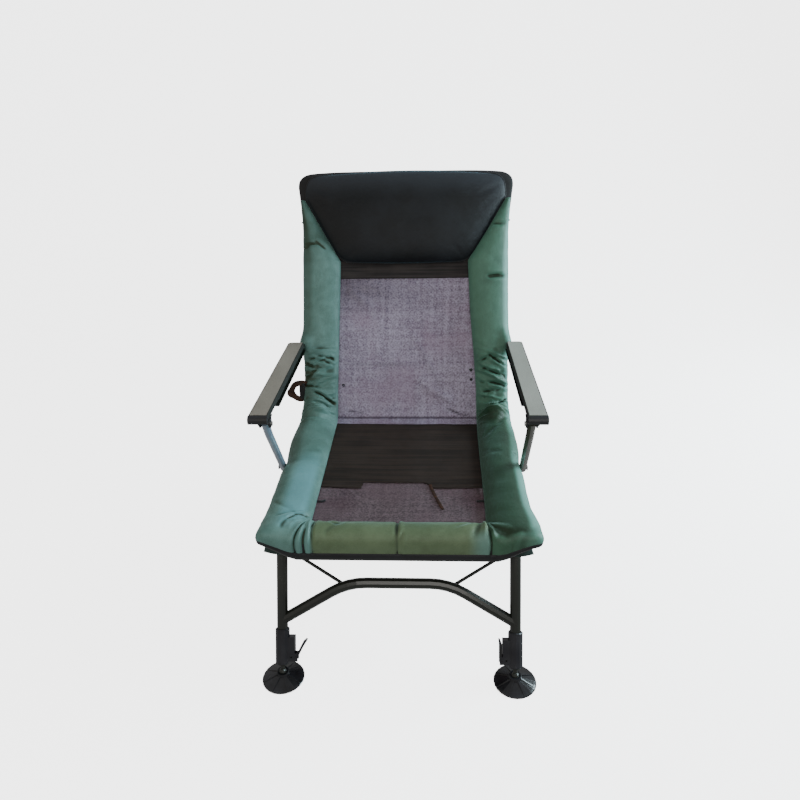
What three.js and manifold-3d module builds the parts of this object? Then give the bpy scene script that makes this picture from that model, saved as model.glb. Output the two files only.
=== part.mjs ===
// A folding carp fishing chair at its real size, in millimetres, +Z up, seen from the front
// looking along +Y. Bent steel tubes carry a padded mesh seat and a padded mesh back. Two leg
// frames fold under the seat, each leg with a clamped extension and a mud foot on a ball. The
// armrests stand on bent posts, and a pin on the back runs along a channel under each of them.
import * as THREE from "three";
import { mergeVertices } from "three/addons/utils/BufferGeometryUtils.js";
import Module from "manifold-3d";

// Seat frame
const TUBE_R = 12.5;
const RAIL_X = 275;
const RAIL_Z = 320;
const RAIL_REAR = 492;
const FRONT_BAR_Y = -32;
const FRAME_BEND = 60;
const REAR_BAR_Y = 470;
const REAR_BAR_DROP = 14;
const MESH_RISE = 5;
const MESH_THICK = 2;
const SEAT_MESH_REAR = 500;
const FIT = 0.3;

// Back frame, set out from its hinge
const HINGE_Y = 487.5;
const HINGE_RISE = 52;
const BACK_LEAN = THREE.MathUtils.degToRad(26);
const BACK_TUBE_X = 268;
const BACK_LENGTH = 672;
const BACK_TUBE_FOOT = 5;
const BACK_MESH_FOOT = -20;

// Padded rim and headrest
const SEAT_OPENING_X = 198;
const BACK_OPENING_X = 189;
const SEAT_OPENING_Y = 8;
const PAD_THICK = 31;
const SEAT_PAD_OUTER = 298.5;
const FRONT_CORNER_OUTER = 312;
const FRONT_PAD_FACE = 28;
const SEAT_PAD_REAR = 470;
const PAD_LIP = 26;
const BACK_PAD_OUTER = 286;
const BACK_CORNER_OUTER = 303;
const BACK_PAD_FOOT = 58;
const BACK_PAD_TIP = 612;
const COVER_GAP = 3;
const SLEEVE_GAP = 1.3;
const PAD_LIP_THICK = 9;
const HEADREST_FOOT = 432;
const HEADREST_TOP = 690;
const HEADREST_FOOT_X = 188;
const HEADREST_TOP_X = 291;
const HEADREST_THICK = 44;

// Leg frames
const LEG_PIVOT_DROP = 30;
const LEG_STEP = 128;
const FRONT_LEG_X = 265;
const REAR_LEG_X = 212;
const REAR_LEG_Y = 440;
const LEG_TUBE_TOP = 5;
const TUBE_TO_BALL = 30.8;
const LEG_BORE_R = 10.6;
const INNER_LEG_R = 10;
const INNER_LEG_TOP = 128;
const ARCH_DROP = 92;
const ARCH_FOOT = 172;
const ARCH_R = 12;
const BRACE_R = 4;

// Mud feet
const FOOT_R = 48.5;
const BALL_R = 9;
const BALL_HEIGHT = 20;
const FOOT_RIBS = 8;

// Armrests
const POST_R = 9.5;
const POST_PIVOT_X = 312;
const POST_PIVOT_Y = 268;
const POST_PIVOT_Z = 322;
const POST_TOP_X = 299;
const POST_TOP_Y = 105;
const POST_TOP_Z = 541;
const ARMREST_X = 309;
const ARMREST_WIDE = 44;
const ARMREST_LONG = 466;
const ARMREST_THICK = 15;
const ARMREST_RISE = 29;
const ARMREST_SLOPE = THREE.MathUtils.degToRad(1.5);

const SEAT_PLANE = RAIL_Z + MESH_RISE;
const HINGE_Z = SEAT_PLANE + HINGE_RISE;
const LEG_PIVOT_Z = RAIL_Z - LEG_PIVOT_DROP;
const LEG_SLANT = Math.atan2(LEG_STEP, LEG_PIVOT_Z - BALL_HEIGHT);
const BALL_DROP = Math.hypot(LEG_STEP, LEG_PIVOT_Z - BALL_HEIGHT);
const LEG_TUBE_END = BALL_DROP - TUBE_TO_BALL;
const MESH_TOP = MESH_THICK / 2;

const wasm = await Module();
wasm.setup();

const finish = (color, roughness, metalness = 0) =>
  new THREE.MeshStandardMaterial({ color, roughness, metalness });
const GREEN_FABRIC = finish(0x4f7a66, 0.75);
const BLACK_FABRIC = finish(0x1c1e22, 0.7);
const MESH_FABRIC = finish(0x6e6069, 0.85);
const BAND_FABRIC = finish(0x2a2524, 0.85);
const FRAME_STEEL = finish(0x1f241d, 0.35, 0.3);
const POST_STEEL = finish(0x16211d, 0.2, 0.4);
const PLATED_STEEL = finish(0x3a3c3e, 0.35, 0.8);
const CLAMP_PLASTIC = finish(0x17181d, 0.45);
const FOOT_PLASTIC = finish(0x121413, 0.22);
const ARMREST_PLASTIC = finish(0x8a867e, 0.55);
const RING_PLASTIC = finish(0x2d1d16, 0.5);

// A closed geometry as a solid that can be joined and cut.
function solidOf(geometry) {
  const loose = geometry.index ? geometry.toNonIndexed() : geometry;
  const bare = new THREE.BufferGeometry();
  bare.setAttribute("position", loose.getAttribute("position"));
  const merged = mergeVertices(bare, TUBE_R / 10000);
  const corners = merged.index.array;
  const kept = [];
  for (let i = 0; i < corners.length; i += 3) {
    const [a, b, c] = corners.subarray(i, i + 3);
    if (a !== b && b !== c && a !== c) kept.push(a, b, c);
  }
  return new wasm.Manifold(
    new wasm.Mesh({
      numProp: 3,
      vertProperties: merged.attributes.position.array,
      triVerts: new Uint32Array(kept),
    }),
  );
}

function geometryOf(solid) {
  const mesh = solid.getMesh();
  const positions = new Float32Array(mesh.numVert * 3);
  for (let i = 0; i < mesh.numVert; i++) {
    const from = i * mesh.numProp;
    positions.set(mesh.vertProperties.subarray(from, from + 3), i * 3);
  }
  const geometry = new THREE.BufferGeometry();
  geometry.setAttribute("position", new THREE.BufferAttribute(positions, 3));
  geometry.setIndex(new THREE.BufferAttribute(new Uint32Array(mesh.triVerts), 1));
  return geometry;
}

const join = (first, ...others) =>
  geometryOf(others.reduce((whole, next) => whole.add(solidOf(next)), solidOf(first)));
const cut = (first, ...tools) =>
  geometryOf(tools.reduce((rest, tool) => rest.subtract(solidOf(tool)), solidOf(first)));

const at = (x, y, z) => new THREE.Vector3(x, y, z);

// How far a cutting tool runs past what it cuts.
const PAST = 60;

// A closed geometry with its faces turned outwards, whichever way its outline ran.
function facingOut(geometry) {
  if (solidOf(geometry).volume() < 0) geometry.setIndex([...geometry.index.array].reverse());
  return geometry;
}

// A closed skin over rings of equally many points, with a flat face at each end.
function loft(rings) {
  const count = rings[0].length;
  const index = [];
  for (let i = 0; i + 1 < rings.length; i++) {
    for (let k = 0; k < count; k++) {
      const a = i * count + k;
      const b = i * count + ((k + 1) % count);
      index.push(a, b, b + count, a, b + count, a + count);
    }
  }
  const last = (rings.length - 1) * count;
  for (const [a, b, c] of endFaces(rings[0])) index.push(c, b, a);
  for (const [a, b, c] of endFaces(rings.at(-1))) index.push(last + a, last + b, last + c);
  const geometry = new THREE.BufferGeometry().setFromPoints(rings.flat());
  geometry.setIndex(index);
  return facingOut(geometry);
}

// The triangles that fill a ring, turned the way that the ring runs.
function endFaces(ring) {
  const normal = at(0, 0, 0);
  ring.forEach((p, i) => normal.add(p.clone().cross(ring[(i + 1) % ring.length])));
  normal.normalize();
  const across = at(1, 0, 0);
  if (Math.abs(normal.x) > 0.7) across.set(0, 1, 0);
  across.addScaledVector(normal, -across.dot(normal)).normalize();
  const up = normal.clone().cross(across);
  const flat = ring.map((p) => new THREE.Vector2(p.dot(across), p.dot(up)));
  return THREE.ShapeUtils.triangulateShape(flat, []);
}

// Points along a bent bar: straight runs joined by arcs.
function bentPath(corners, bend, steps) {
  const path = [corners[0]];
  for (let i = 1; i + 1 < corners.length; i++) {
    const into = corners[i].clone().sub(corners[i - 1]).normalize();
    const out = corners[i + 1].clone().sub(corners[i]).normalize();
    const turn = into.angleTo(out);
    const side = out.clone().addScaledVector(into, -out.dot(into)).normalize();
    const start = corners[i].clone().addScaledVector(into, -bend * Math.tan(turn / 2));
    const centre = start.clone().addScaledVector(side, bend);
    for (let k = 0; k <= steps; k++) {
      const angle = (turn * k) / steps;
      path.push(
        centre
          .clone()
          .addScaledVector(side, -bend * Math.cos(angle))
          .addScaledVector(into, bend * Math.sin(angle)),
      );
    }
  }
  path.push(corners.at(-1));
  return path;
}

// A round bar along a path.
function bar(path, radius, sides) {
  let across = null;
  const rings = path.map((point, i) => {
    const before = path[Math.max(i - 1, 0)];
    const after = path[Math.min(i + 1, path.length - 1)];
    const ahead = after.clone().sub(point).normalize();
    const behind = point.clone().sub(before).normalize();
    const along = ahead.add(behind).normalize();
    if (!across) across = Math.abs(along.x) > 0.9 ? at(0, 1, 0) : at(1, 0, 0);
    across = across.clone().addScaledVector(along, -across.dot(along)).normalize();
    const up = along.clone().cross(across);
    return Array.from({ length: sides }, (_, k) => {
      const angle = ((k + 0.5) / sides) * 2 * Math.PI;
      return point
        .clone()
        .addScaledVector(across, radius * Math.cos(angle))
        .addScaledVector(up, radius * Math.sin(angle));
    });
  });
  return loft(rings);
}

// An outline of points or a shape in the Y-Z plane, as a plate between two places along X.
function sidePlate(outline, low, high) {
  const shape = outline instanceof THREE.Shape ? outline : new THREE.Shape(outline);
  const plate = new THREE.ExtrudeGeometry(shape, {
    depth: high - low,
    bevelEnabled: false,
    curveSegments: 6,
  });
  plate.applyMatrix4(new THREE.Matrix4().makeBasis(at(0, 1, 0), at(0, 0, 1), at(1, 0, 0)));
  plate.translate(low, 0, 0);
  return plate;
}

// The same plate on both sides of the chair.
const sidePlates = (outline, low, high) => [
  sidePlate(outline, low, high),
  sidePlate(outline, -high, -low),
];

// A round bolt, pin or bush along X.
function crossPin(radius, low, high, y, z, sides = 12) {
  return bar([at(low, y, z), at(high, y, z)], radius, sides);
}

function block(low, high) {
  const size = high.clone().sub(low);
  const box = new THREE.BoxGeometry(size.x, size.y, size.z);
  return box.translate((low.x + high.x) / 2, (low.y + high.y) / 2, (low.z + high.z) / 2);
}

// A profile of [radius, height] pairs turned about Z.
function turned(profile, segments) {
  const points = profile.map(([radius, height]) => new THREE.Vector2(radius, height));
  return facingOut(new THREE.LatheGeometry(points, segments).rotateX(Math.PI / 2));
}

// The outline of a strap between two round ends in the Y-Z plane.
function strapShape(y1, z1, r1, y2, z2, r2) {
  const lean = Math.atan2(z2 - z1, y2 - y1);
  const wrap = Math.acos((r1 - r2) / Math.hypot(y2 - y1, z2 - z1));
  const shape = new THREE.Shape();
  shape.absarc(y1, z1, r1, lean + wrap, lean - wrap + 2 * Math.PI, false);
  shape.absarc(y2, z2, r2, lean - wrap, lean + wrap, false);
  shape.closePath();
  return shape;
}

const chair = new THREE.Group();

function add(name, geometry, material, group = chair) {
  const mesh = new THREE.Mesh(geometry, material);
  mesh.name = name;
  group.add(mesh);
  return mesh;
}

// The same piece on the right and, mirrored, on the left.
function addPair(name, geometry, material, group = chair) {
  add(`${name}_right`, geometry, material, group);
  add(`${name}_left`, geometry.clone(), material, group).scale.x = -1;
}

// Seat frame: one bent tube with a cross bar welded under its rear ends.
const railPath = bentPath(
  [
    at(RAIL_X, RAIL_REAR, RAIL_Z),
    at(RAIL_X, FRONT_BAR_Y, RAIL_Z),
    at(-RAIL_X, FRONT_BAR_Y, RAIL_Z),
    at(-RAIL_X, RAIL_REAR, RAIL_Z),
  ],
  FRAME_BEND,
  5,
);
const REAR_BAR_Z = RAIL_Z - REAR_BAR_DROP;
const rearBarPath = [at(-RAIL_X, REAR_BAR_Y, REAR_BAR_Z), at(RAIL_X, REAR_BAR_Y, REAR_BAR_Z)];
add("seat_frame_tube", join(bar(railPath, TUBE_R, 12), bar(rearBarPath, TUBE_R, 12)), FRAME_STEEL);

// A sheet that fills a bent tube's opening, square at its open end.
function meshShape(halfWidth, open, closed, corner) {
  const turn = Math.sign(closed - open);
  const shape = new THREE.Shape();
  shape.moveTo(-halfWidth, open);
  shape.lineTo(-halfWidth, closed - turn * corner);
  shape.quadraticCurveTo(-halfWidth, closed, -halfWidth + corner, closed);
  shape.lineTo(halfWidth - corner, closed);
  shape.quadraticCurveTo(halfWidth, closed, halfWidth, closed - turn * corner);
  shape.lineTo(halfWidth, open);
  shape.closePath();
  return shape;
}

const MESH_CORNER = FRAME_BEND + TUBE_R;

// Plates of the back hinge: where they stand, and the room that the cloth leaves for them.
const PLATE_THICK = 2.7;
const PLATE_R = 15;
const PLATE_TIP_R = 12;
const PLATE_LONG = 30;
const STRIP_R = 9;
const STRIP_LONG = 75;
const SEAT_PLATE_X = RAIL_X - TUBE_R - FIT - PLATE_THICK;
const BACK_PLATE_X = BACK_TUBE_X - TUBE_R - FIT - PLATE_THICK;
const BACK_TUBE_Y = HINGE_RISE + MESH_RISE;
const seatPlateShape = (grown) =>
  strapShape(HINGE_Y, HINGE_Z, PLATE_R + grown, HINGE_Y - PLATE_R / 2, RAIL_Z, PLATE_R + grown);
const backPlateShape = (grown) =>
  strapShape(0, 0, PLATE_R + grown, BACK_TUBE_Y, PLATE_LONG, PLATE_TIP_R + grown);
const stripShape = (grown) =>
  strapShape(BACK_TUBE_Y, PLATE_R, STRIP_R + grown, BACK_TUBE_Y, STRIP_LONG, STRIP_R + grown);
const seatPlateRooms = sidePlates(seatPlateShape(FIT), SEAT_PLATE_X - FIT, RAIL_X);
const backPlateRooms = [
  ...sidePlates(backPlateShape(FIT), BACK_PLATE_X - FIT, BACK_TUBE_X),
  ...sidePlates(stripShape(FIT), BACK_PLATE_X - FIT, BACK_TUBE_X),
];

const seatMesh = new THREE.ExtrudeGeometry(
  meshShape(RAIL_X - TUBE_R, SEAT_MESH_REAR, FRONT_BAR_Y + TUBE_R, MESH_CORNER),
  { depth: MESH_THICK, bevelEnabled: false, curveSegments: 6 },
).translate(0, 0, SEAT_PLANE - MESH_TOP);
add("seat_mesh", cut(seatMesh, ...seatPlateRooms), MESH_FABRIC);

// Support band: a doubled panel over the rear of the seat, with a stepped front edge.
const BAND_THICK = 1.2;
const BAND_FRONT = 172;
const BAND_STEP = 8;
const BAND_TONGUE_X = 62;
const BAND_EDGE_GAP = 12.5;
const BAND_HALF = RAIL_X - TUBE_R - BAND_EDGE_GAP;
const BAND_REAR = 496;
const bandShape = new THREE.Shape([
  new THREE.Vector2(-BAND_HALF, BAND_FRONT),
  new THREE.Vector2(-BAND_TONGUE_X, BAND_FRONT),
  new THREE.Vector2(-BAND_TONGUE_X, BAND_FRONT + BAND_STEP),
  new THREE.Vector2(BAND_TONGUE_X, BAND_FRONT + BAND_STEP),
  new THREE.Vector2(BAND_TONGUE_X, BAND_FRONT),
  new THREE.Vector2(BAND_HALF, BAND_FRONT),
  new THREE.Vector2(BAND_HALF, BAND_REAR),
  new THREE.Vector2(-BAND_HALF, BAND_REAR),
]);
const band = new THREE.ExtrudeGeometry(bandShape, { depth: BAND_THICK, bevelEnabled: false });
add("seat_support_band", band.translate(0, 0, SEAT_PLANE + MESH_TOP + FIT), BAND_FABRIC);

// Padded rim: filled sleeves that lie over the tubes, each with a crown and a hanging lip.
const RIM_SLEEVE_R = TUBE_R + SLEEVE_GAP;
const SIDE_CROWN_SHARES = [
  [0.0, 0.1],
  [0.05, 0.52],
  [0.2, 0.86],
  [0.42, 1.0],
  [0.66, 0.95],
  [0.86, 0.7],
  [0.98, 0.28],
];

// One ring of a rim pad as places across it and heights above the mesh: from its inner edge over
// the crown to its lip and back underneath.
function rimSection(inner, outer, under, thick, lip) {
  const wide = outer - inner;
  const top = SIDE_CROWN_SHARES.map(([u, v]) => [inner + wide * u, under + thick * v]);
  const lipIn = outer - PAD_LIP_THICK;
  return [
    ...top,
    [outer, under - lip / 2],
    [outer - PAD_LIP_THICK * 0.2, under - lip],
    [lipIn, under - lip],
    [Math.max(lipIn - lip * 0.9, inner + wide * 0.2), under],
    [inner + wide * 0.1, under],
  ];
}
const PUCKER = 1.6;
const PUCKER_LONG = 46;
const CORNER_FLARE_FROM = 64;

const seatPadStations = [
  [FRONT_BAR_Y - FRONT_PAD_FACE, 0.45],
  [FRONT_BAR_Y - FRONT_PAD_FACE * 0.8, 0.8],
  [FRONT_BAR_Y - TUBE_R - COVER_GAP / 2, 0.95],
  [FRONT_BAR_Y - TUBE_R - COVER_GAP / 3, 0.95],
  [FRONT_BAR_Y, 1.0],
  [SEAT_OPENING_Y + TUBE_R, 0.97],
];
const SEAT_PAD_STEPS = 12;
for (let i = 1; i <= SEAT_PAD_STEPS; i++) {
  const from = SEAT_OPENING_Y + TUBE_R;
  seatPadStations.push([from + ((SEAT_PAD_REAR - from) * i) / SEAT_PAD_STEPS, 1.0]);
}
seatPadStations.at(-1)[1] = 0.8;

const seatPadRings = seatPadStations.map(([y, full], i) => {
  const inFront = y < FRONT_BAR_Y - TUBE_R - COVER_GAP * 0.4;
  const flare = THREE.MathUtils.smoothstep(-y, -CORNER_FLARE_FROM, -FRONT_BAR_Y);
  const outer = THREE.MathUtils.lerp(SEAT_PAD_OUTER, FRONT_CORNER_OUTER, flare * full);
  const pucker = PUCKER * Math.sin((2 * Math.PI * y) / PUCKER_LONG) * (i > 5 ? 1 : 0);
  const under = COVER_GAP - (inFront ? PAD_LIP * 0.8 : 0);
  const thick = PAD_THICK * full + (inFront ? PAD_LIP * 0.8 : 0) + pucker;
  const lip = inFront ? PAD_LIP * 0.1 : PAD_LIP;
  const section = rimSection(SEAT_OPENING_X, outer, under, thick, lip);
  return section.map(([x, h]) => at(x, y, SEAT_PLANE + h));
});

// Lower end of the arm posts, whose bush passes through a notch in the seat pad's lip
const BUSH_R = 9;
const PIN_R = 4;
const BOLT_HEAD_R = 7;
const BOLT_HEAD_THICK = 3;
const NOTCH = 6;

const railSleeve = bar(railPath, RIM_SLEEVE_R, 10);
const bushNotch = block(
  at(RAIL_X, POST_PIVOT_Y - BUSH_R - NOTCH, POST_PIVOT_Z - PAD_LIP - NOTCH),
  at(FRONT_CORNER_OUTER, POST_PIVOT_Y + BUSH_R + NOTCH, POST_PIVOT_Z + BUSH_R + FIT),
);
const seatPad = cut(loft(seatPadRings), railSleeve, bushNotch, ...seatPlateRooms);
addPair("seat_pad", seatPad, GREEN_FABRIC);

// Front pad: the same sleeve across the front, gathered by a seam in its middle.
const FRONT_PAD_STEPS = 10;
const SEAM_SHARE = 0.14;
const FRONT_HALF = SEAT_OPENING_X - FIT;
const FRONT_CROWN_SHARES = [
  [0.0, 0.1],
  [0.06, 0.5],
  [0.22, 0.85],
  [0.45, 1.0],
  [0.7, 0.96],
  [0.9, 0.66],
  [1.0, 0.2],
];
const frontPadRings = [];
for (let i = 0; i <= FRONT_PAD_STEPS; i++) {
  for (const side of i === FRONT_PAD_STEPS / 2 ? [-1, 0, 1] : [0]) {
    const u = (2 * i) / FRONT_PAD_STEPS - 1;
    const x = FRONT_HALF * u + side * PUCKER * 2;
    const seam = i === FRONT_PAD_STEPS / 2 && side === 0;
    const thick = PAD_THICK * (seam ? 1 - SEAM_SHARE : 1 - 0.08 * u * u);
    const face = FRONT_BAR_Y - FRONT_PAD_FACE + (seam ? PUCKER : 0);
    const deep = SEAT_OPENING_Y - face;
    const under = SEAT_PLANE + COVER_GAP;
    const top = FRONT_CROWN_SHARES.map(([v, w]) => [SEAT_OPENING_Y - deep * v, under + thick * w]);
    const section = [
      ...top,
      [face + PUCKER, under - PAD_LIP * 0.7],
      [face + PAD_LIP_THICK * 0.5, under - PAD_LIP],
      [face + PAD_LIP_THICK + PUCKER, under - PAD_LIP],
      [FRONT_BAR_Y + TUBE_R * 0.8, under],
      [SEAT_OPENING_Y - deep * 0.1, under],
    ];
    frontPadRings.push(section.map(([y, z]) => at(x, y, z)));
  }
}
add("seat_pad_front", cut(loft(frontPadRings), railSleeve), GREEN_FABRIC);

// Seat side of the back hinge: a plate on the rail's inner side with its riveted pivot pin.
const PIVOT_CLEAR = 0.4;
const pivotHead = BACK_PLATE_X - FIT;
const pivotRoot = SEAT_PLATE_X + PLATE_THICK / 2;
const seatHinge = join(
  sidePlate(seatPlateShape(0), SEAT_PLATE_X, SEAT_PLATE_X + PLATE_THICK),
  crossPin(PIN_R, pivotHead - BOLT_HEAD_THICK / 2, pivotRoot, HINGE_Y, HINGE_Z),
  crossPin(BOLT_HEAD_R, pivotHead - BOLT_HEAD_THICK, pivotHead, HINGE_Y, HINGE_Z),
  crossPin(
    BOLT_HEAD_R,
    pivotRoot,
    SEAT_PLATE_X + PLATE_THICK + BOLT_HEAD_THICK,
    HINGE_Y,
    HINGE_Z,
  ),
  crossPin(BOLT_HEAD_R, BACK_PLATE_X + PLATE_THICK + FIT, SEAT_PLATE_X + FIT, HINGE_Y, HINGE_Z),
);
const rearBarSleeve = bar(rearBarPath, TUBE_R + FIT, 12);
addPair("hinge_plate_seat", cut(seatHinge, rearBarSleeve), PLATED_STEEL);

// Leg brackets: folded steel clevises under the tubes, each with its pivot bolt.
const BRACKET_THICK = 2.2;
const BRACKET_HALF = 18;
const EAR_R = 13;
const EAR_GAP = 0.8;
function clevis(x, y, topZ, reach) {
  const z = LEG_PIVOT_Z;
  const ear = new THREE.Shape();
  ear.moveTo(y - BRACKET_HALF + reach, topZ);
  ear.lineTo(y + BRACKET_HALF + reach, topZ);
  ear.lineTo(y + EAR_R, z);
  ear.absarc(y, z, EAR_R, 0, -Math.PI, true);
  ear.closePath();
  const inner = TUBE_R + EAR_GAP;
  const low = x - inner - BRACKET_THICK;
  const high = x + inner + BRACKET_THICK;
  const web = block(
    at(low, y - BRACKET_HALF + reach, topZ - BRACKET_THICK),
    at(high, y + BRACKET_HALF + reach, topZ),
  );
  return join(
    sidePlate(ear, low, x - inner),
    sidePlate(ear, x + inner, high),
    web,
    crossPin(PIN_R, low - BOLT_HEAD_THICK / 2, high + BOLT_HEAD_THICK / 2, y, z),
    crossPin(BOLT_HEAD_R, low - BOLT_HEAD_THICK, low + BRACKET_THICK / 2, y, z, 6),
    crossPin(BOLT_HEAD_R, high - BRACKET_THICK / 2, high + BOLT_HEAD_THICK, y, z, 6),
  );
}
const frontClevis = clevis(FRONT_LEG_X, 0, RAIL_Z - TUBE_R - FIT, 0);
addPair("front_leg_bracket", frontClevis, FRAME_STEEL);
const REAR_BRACKET_REACH = REAR_BAR_Y - REAR_LEG_Y - BRACKET_HALF;
const rearClevis = cut(
  clevis(REAR_LEG_X, REAR_LEG_Y, RAIL_Z - TUBE_R - FIT, REAR_BRACKET_REACH),
  rearBarSleeve,
);
addPair("rear_leg_bracket", rearClevis, FRAME_STEEL);

// Post pivots: a bush on the rail's outer side and a bolt through the post.
const postNear = POST_PIVOT_X - POST_R;
const postFar = POST_PIVOT_X + POST_R;
const postHead = postFar + BOLT_HEAD_THICK;
const postPivot = join(
  crossPin(BUSH_R, RAIL_X + TUBE_R + FIT, postNear - FIT, POST_PIVOT_Y, POST_PIVOT_Z),
  crossPin(PIN_R, postNear - BOLT_HEAD_THICK, postHead, POST_PIVOT_Y, POST_PIVOT_Z),
  crossPin(BOLT_HEAD_R, postFar + FIT, postHead, POST_PIVOT_Y, POST_PIVOT_Z, 6),
);
addPair("post_pivot_bolt", postPivot, PLATED_STEEL);

// Back: everything on it is set out from the hinge, with its length along Z.
const back = new THREE.Group();
back.position.set(0, HINGE_Y, HINGE_Z);
back.rotation.x = -BACK_LEAN;
chair.add(back);

const backPath = bentPath(
  [
    at(BACK_TUBE_X, BACK_TUBE_Y, BACK_TUBE_FOOT),
    at(BACK_TUBE_X, BACK_TUBE_Y, BACK_LENGTH),
    at(-BACK_TUBE_X, BACK_TUBE_Y, BACK_LENGTH),
    at(-BACK_TUBE_X, BACK_TUBE_Y, BACK_TUBE_FOOT),
  ],
  FRAME_BEND,
  5,
);
add("back_frame_tube", bar(backPath, TUBE_R, 12), FRAME_STEEL, back);

// A flat outline as a sheet that faces forwards on the back, its front at a depth behind the hinge.
function backSheet(shape, thick, front) {
  const sheet = new THREE.ExtrudeGeometry(shape, {
    depth: thick,
    bevelEnabled: false,
    curveSegments: 6,
  });
  sheet.applyMatrix4(new THREE.Matrix4().makeBasis(at(1, 0, 0), at(0, 0, 1), at(0, -1, 0)));
  return sheet.translate(0, front + thick, 0);
}
const backMesh = meshShape(
  BACK_TUBE_X - TUBE_R,
  BACK_MESH_FOOT,
  BACK_LENGTH - TUBE_R,
  MESH_CORNER,
);
const backMeshSheet = backSheet(backMesh, MESH_THICK, HINGE_RISE - MESH_TOP);
add("back_mesh", cut(backMeshSheet, ...backPlateRooms), MESH_FABRIC, back);

const TOP_BAND_LONG = 48;
const TOP_BAND_EDGE_GAP = 5.5;
const TOP_BAND_HALF = BACK_TUBE_X - TUBE_R - TOP_BAND_EDGE_GAP;
const topBand = new THREE.Shape([
  new THREE.Vector2(-TOP_BAND_HALF, HEADREST_FOOT - TOP_BAND_LONG),
  new THREE.Vector2(TOP_BAND_HALF, HEADREST_FOOT - TOP_BAND_LONG),
  new THREE.Vector2(TOP_BAND_HALF, HEADREST_FOOT),
  new THREE.Vector2(-TOP_BAND_HALF, HEADREST_FOOT),
]);
const topBandFront = HINGE_RISE - MESH_TOP - FIT - BAND_THICK;
add("back_top_band", backSheet(topBand, BAND_THICK, topBandFront), BAND_FABRIC, back);

// Back pads: they taper to a point beside the headrest, whose slanting sides they follow.
const BACK_PAD_STEPS = 14;
const BACK_FLARE_FROM = 530;
const BACK_PAD_POINT = 10;
function backPadInner(z) {
  const straight = THREE.MathUtils.lerp(
    SEAT_OPENING_X,
    BACK_OPENING_X,
    Math.min((z - BACK_PAD_FOOT) / (HEADREST_FOOT - BACK_PAD_FOOT), 1),
  );
  const beside = Math.max((z - HEADREST_FOOT) / (BACK_PAD_TIP - HEADREST_FOOT), 0);
  return THREE.MathUtils.lerp(straight, BACK_CORNER_OUTER - BACK_PAD_POINT, beside);
}
const backPadRings = [];
for (let i = 0; i <= BACK_PAD_STEPS; i++) {
  const z = THREE.MathUtils.lerp(BACK_PAD_FOOT, BACK_PAD_TIP, i / BACK_PAD_STEPS);
  const flare = THREE.MathUtils.smoothstep(z, BACK_FLARE_FROM, BACK_PAD_TIP);
  const outer = THREE.MathUtils.lerp(BACK_PAD_OUTER, BACK_CORNER_OUTER, flare);
  const inner = backPadInner(z);
  const full = Math.min((outer - inner) / (BACK_PAD_OUTER - BACK_OPENING_X), 1);
  const thick = PAD_THICK * Math.sqrt(full) + PUCKER * Math.sin((2 * Math.PI * z) / PUCKER_LONG);
  const lip = PAD_LIP * full;
  const section = rimSection(inner, outer, COVER_GAP, thick * (i ? 1 : 0.8), lip);
  backPadRings.push(section.map(([x, h]) => at(x, HINGE_RISE - h, z)));
}

// Arm brackets: a strap on each back tube's outer side, ending in the pin of the armrest channel.
const ARM_PIN_Y = 27;
const ARM_PIN_Z = 187;
const ARM_STRAP_R = 12;
const ARM_STRAP_THICK = 3;
const ARM_STRAP_RISE = 14;
const backSleeve = bar(backPath, RIM_SLEEVE_R, 10);
const strapNotch = block(
  at(BACK_TUBE_X + TUBE_R, -PAD_THICK, ARM_PIN_Z - ARM_STRAP_R - NOTCH),
  at(BACK_CORNER_OUTER, BACK_TUBE_Y + PAST, ARM_PIN_Z + ARM_STRAP_R + ARM_STRAP_RISE + NOTCH),
);
const backPad = cut(loft(backPadRings), backSleeve, strapNotch, ...backPlateRooms);
addPair("back_pad", backPad, GREEN_FABRIC, back);

const strapLow = BACK_TUBE_X + TUBE_R + FIT;
const PIN_END = BACK_PAD_OUTER + FIT * 2;
const armBracket = join(
  sidePlate(
    strapShape(
      BACK_TUBE_Y,
      ARM_PIN_Z + ARM_STRAP_RISE,
      ARM_STRAP_R,
      ARM_PIN_Y,
      ARM_PIN_Z,
      ARM_STRAP_R * 0.7,
    ),
    strapLow,
    strapLow + ARM_STRAP_THICK,
  ),
  crossPin(PIN_R, strapLow + ARM_STRAP_THICK / 2, PIN_END, ARM_PIN_Y, ARM_PIN_Z),
);
addPair("back_arm_bracket", armBracket, PLATED_STEEL, back);

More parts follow.
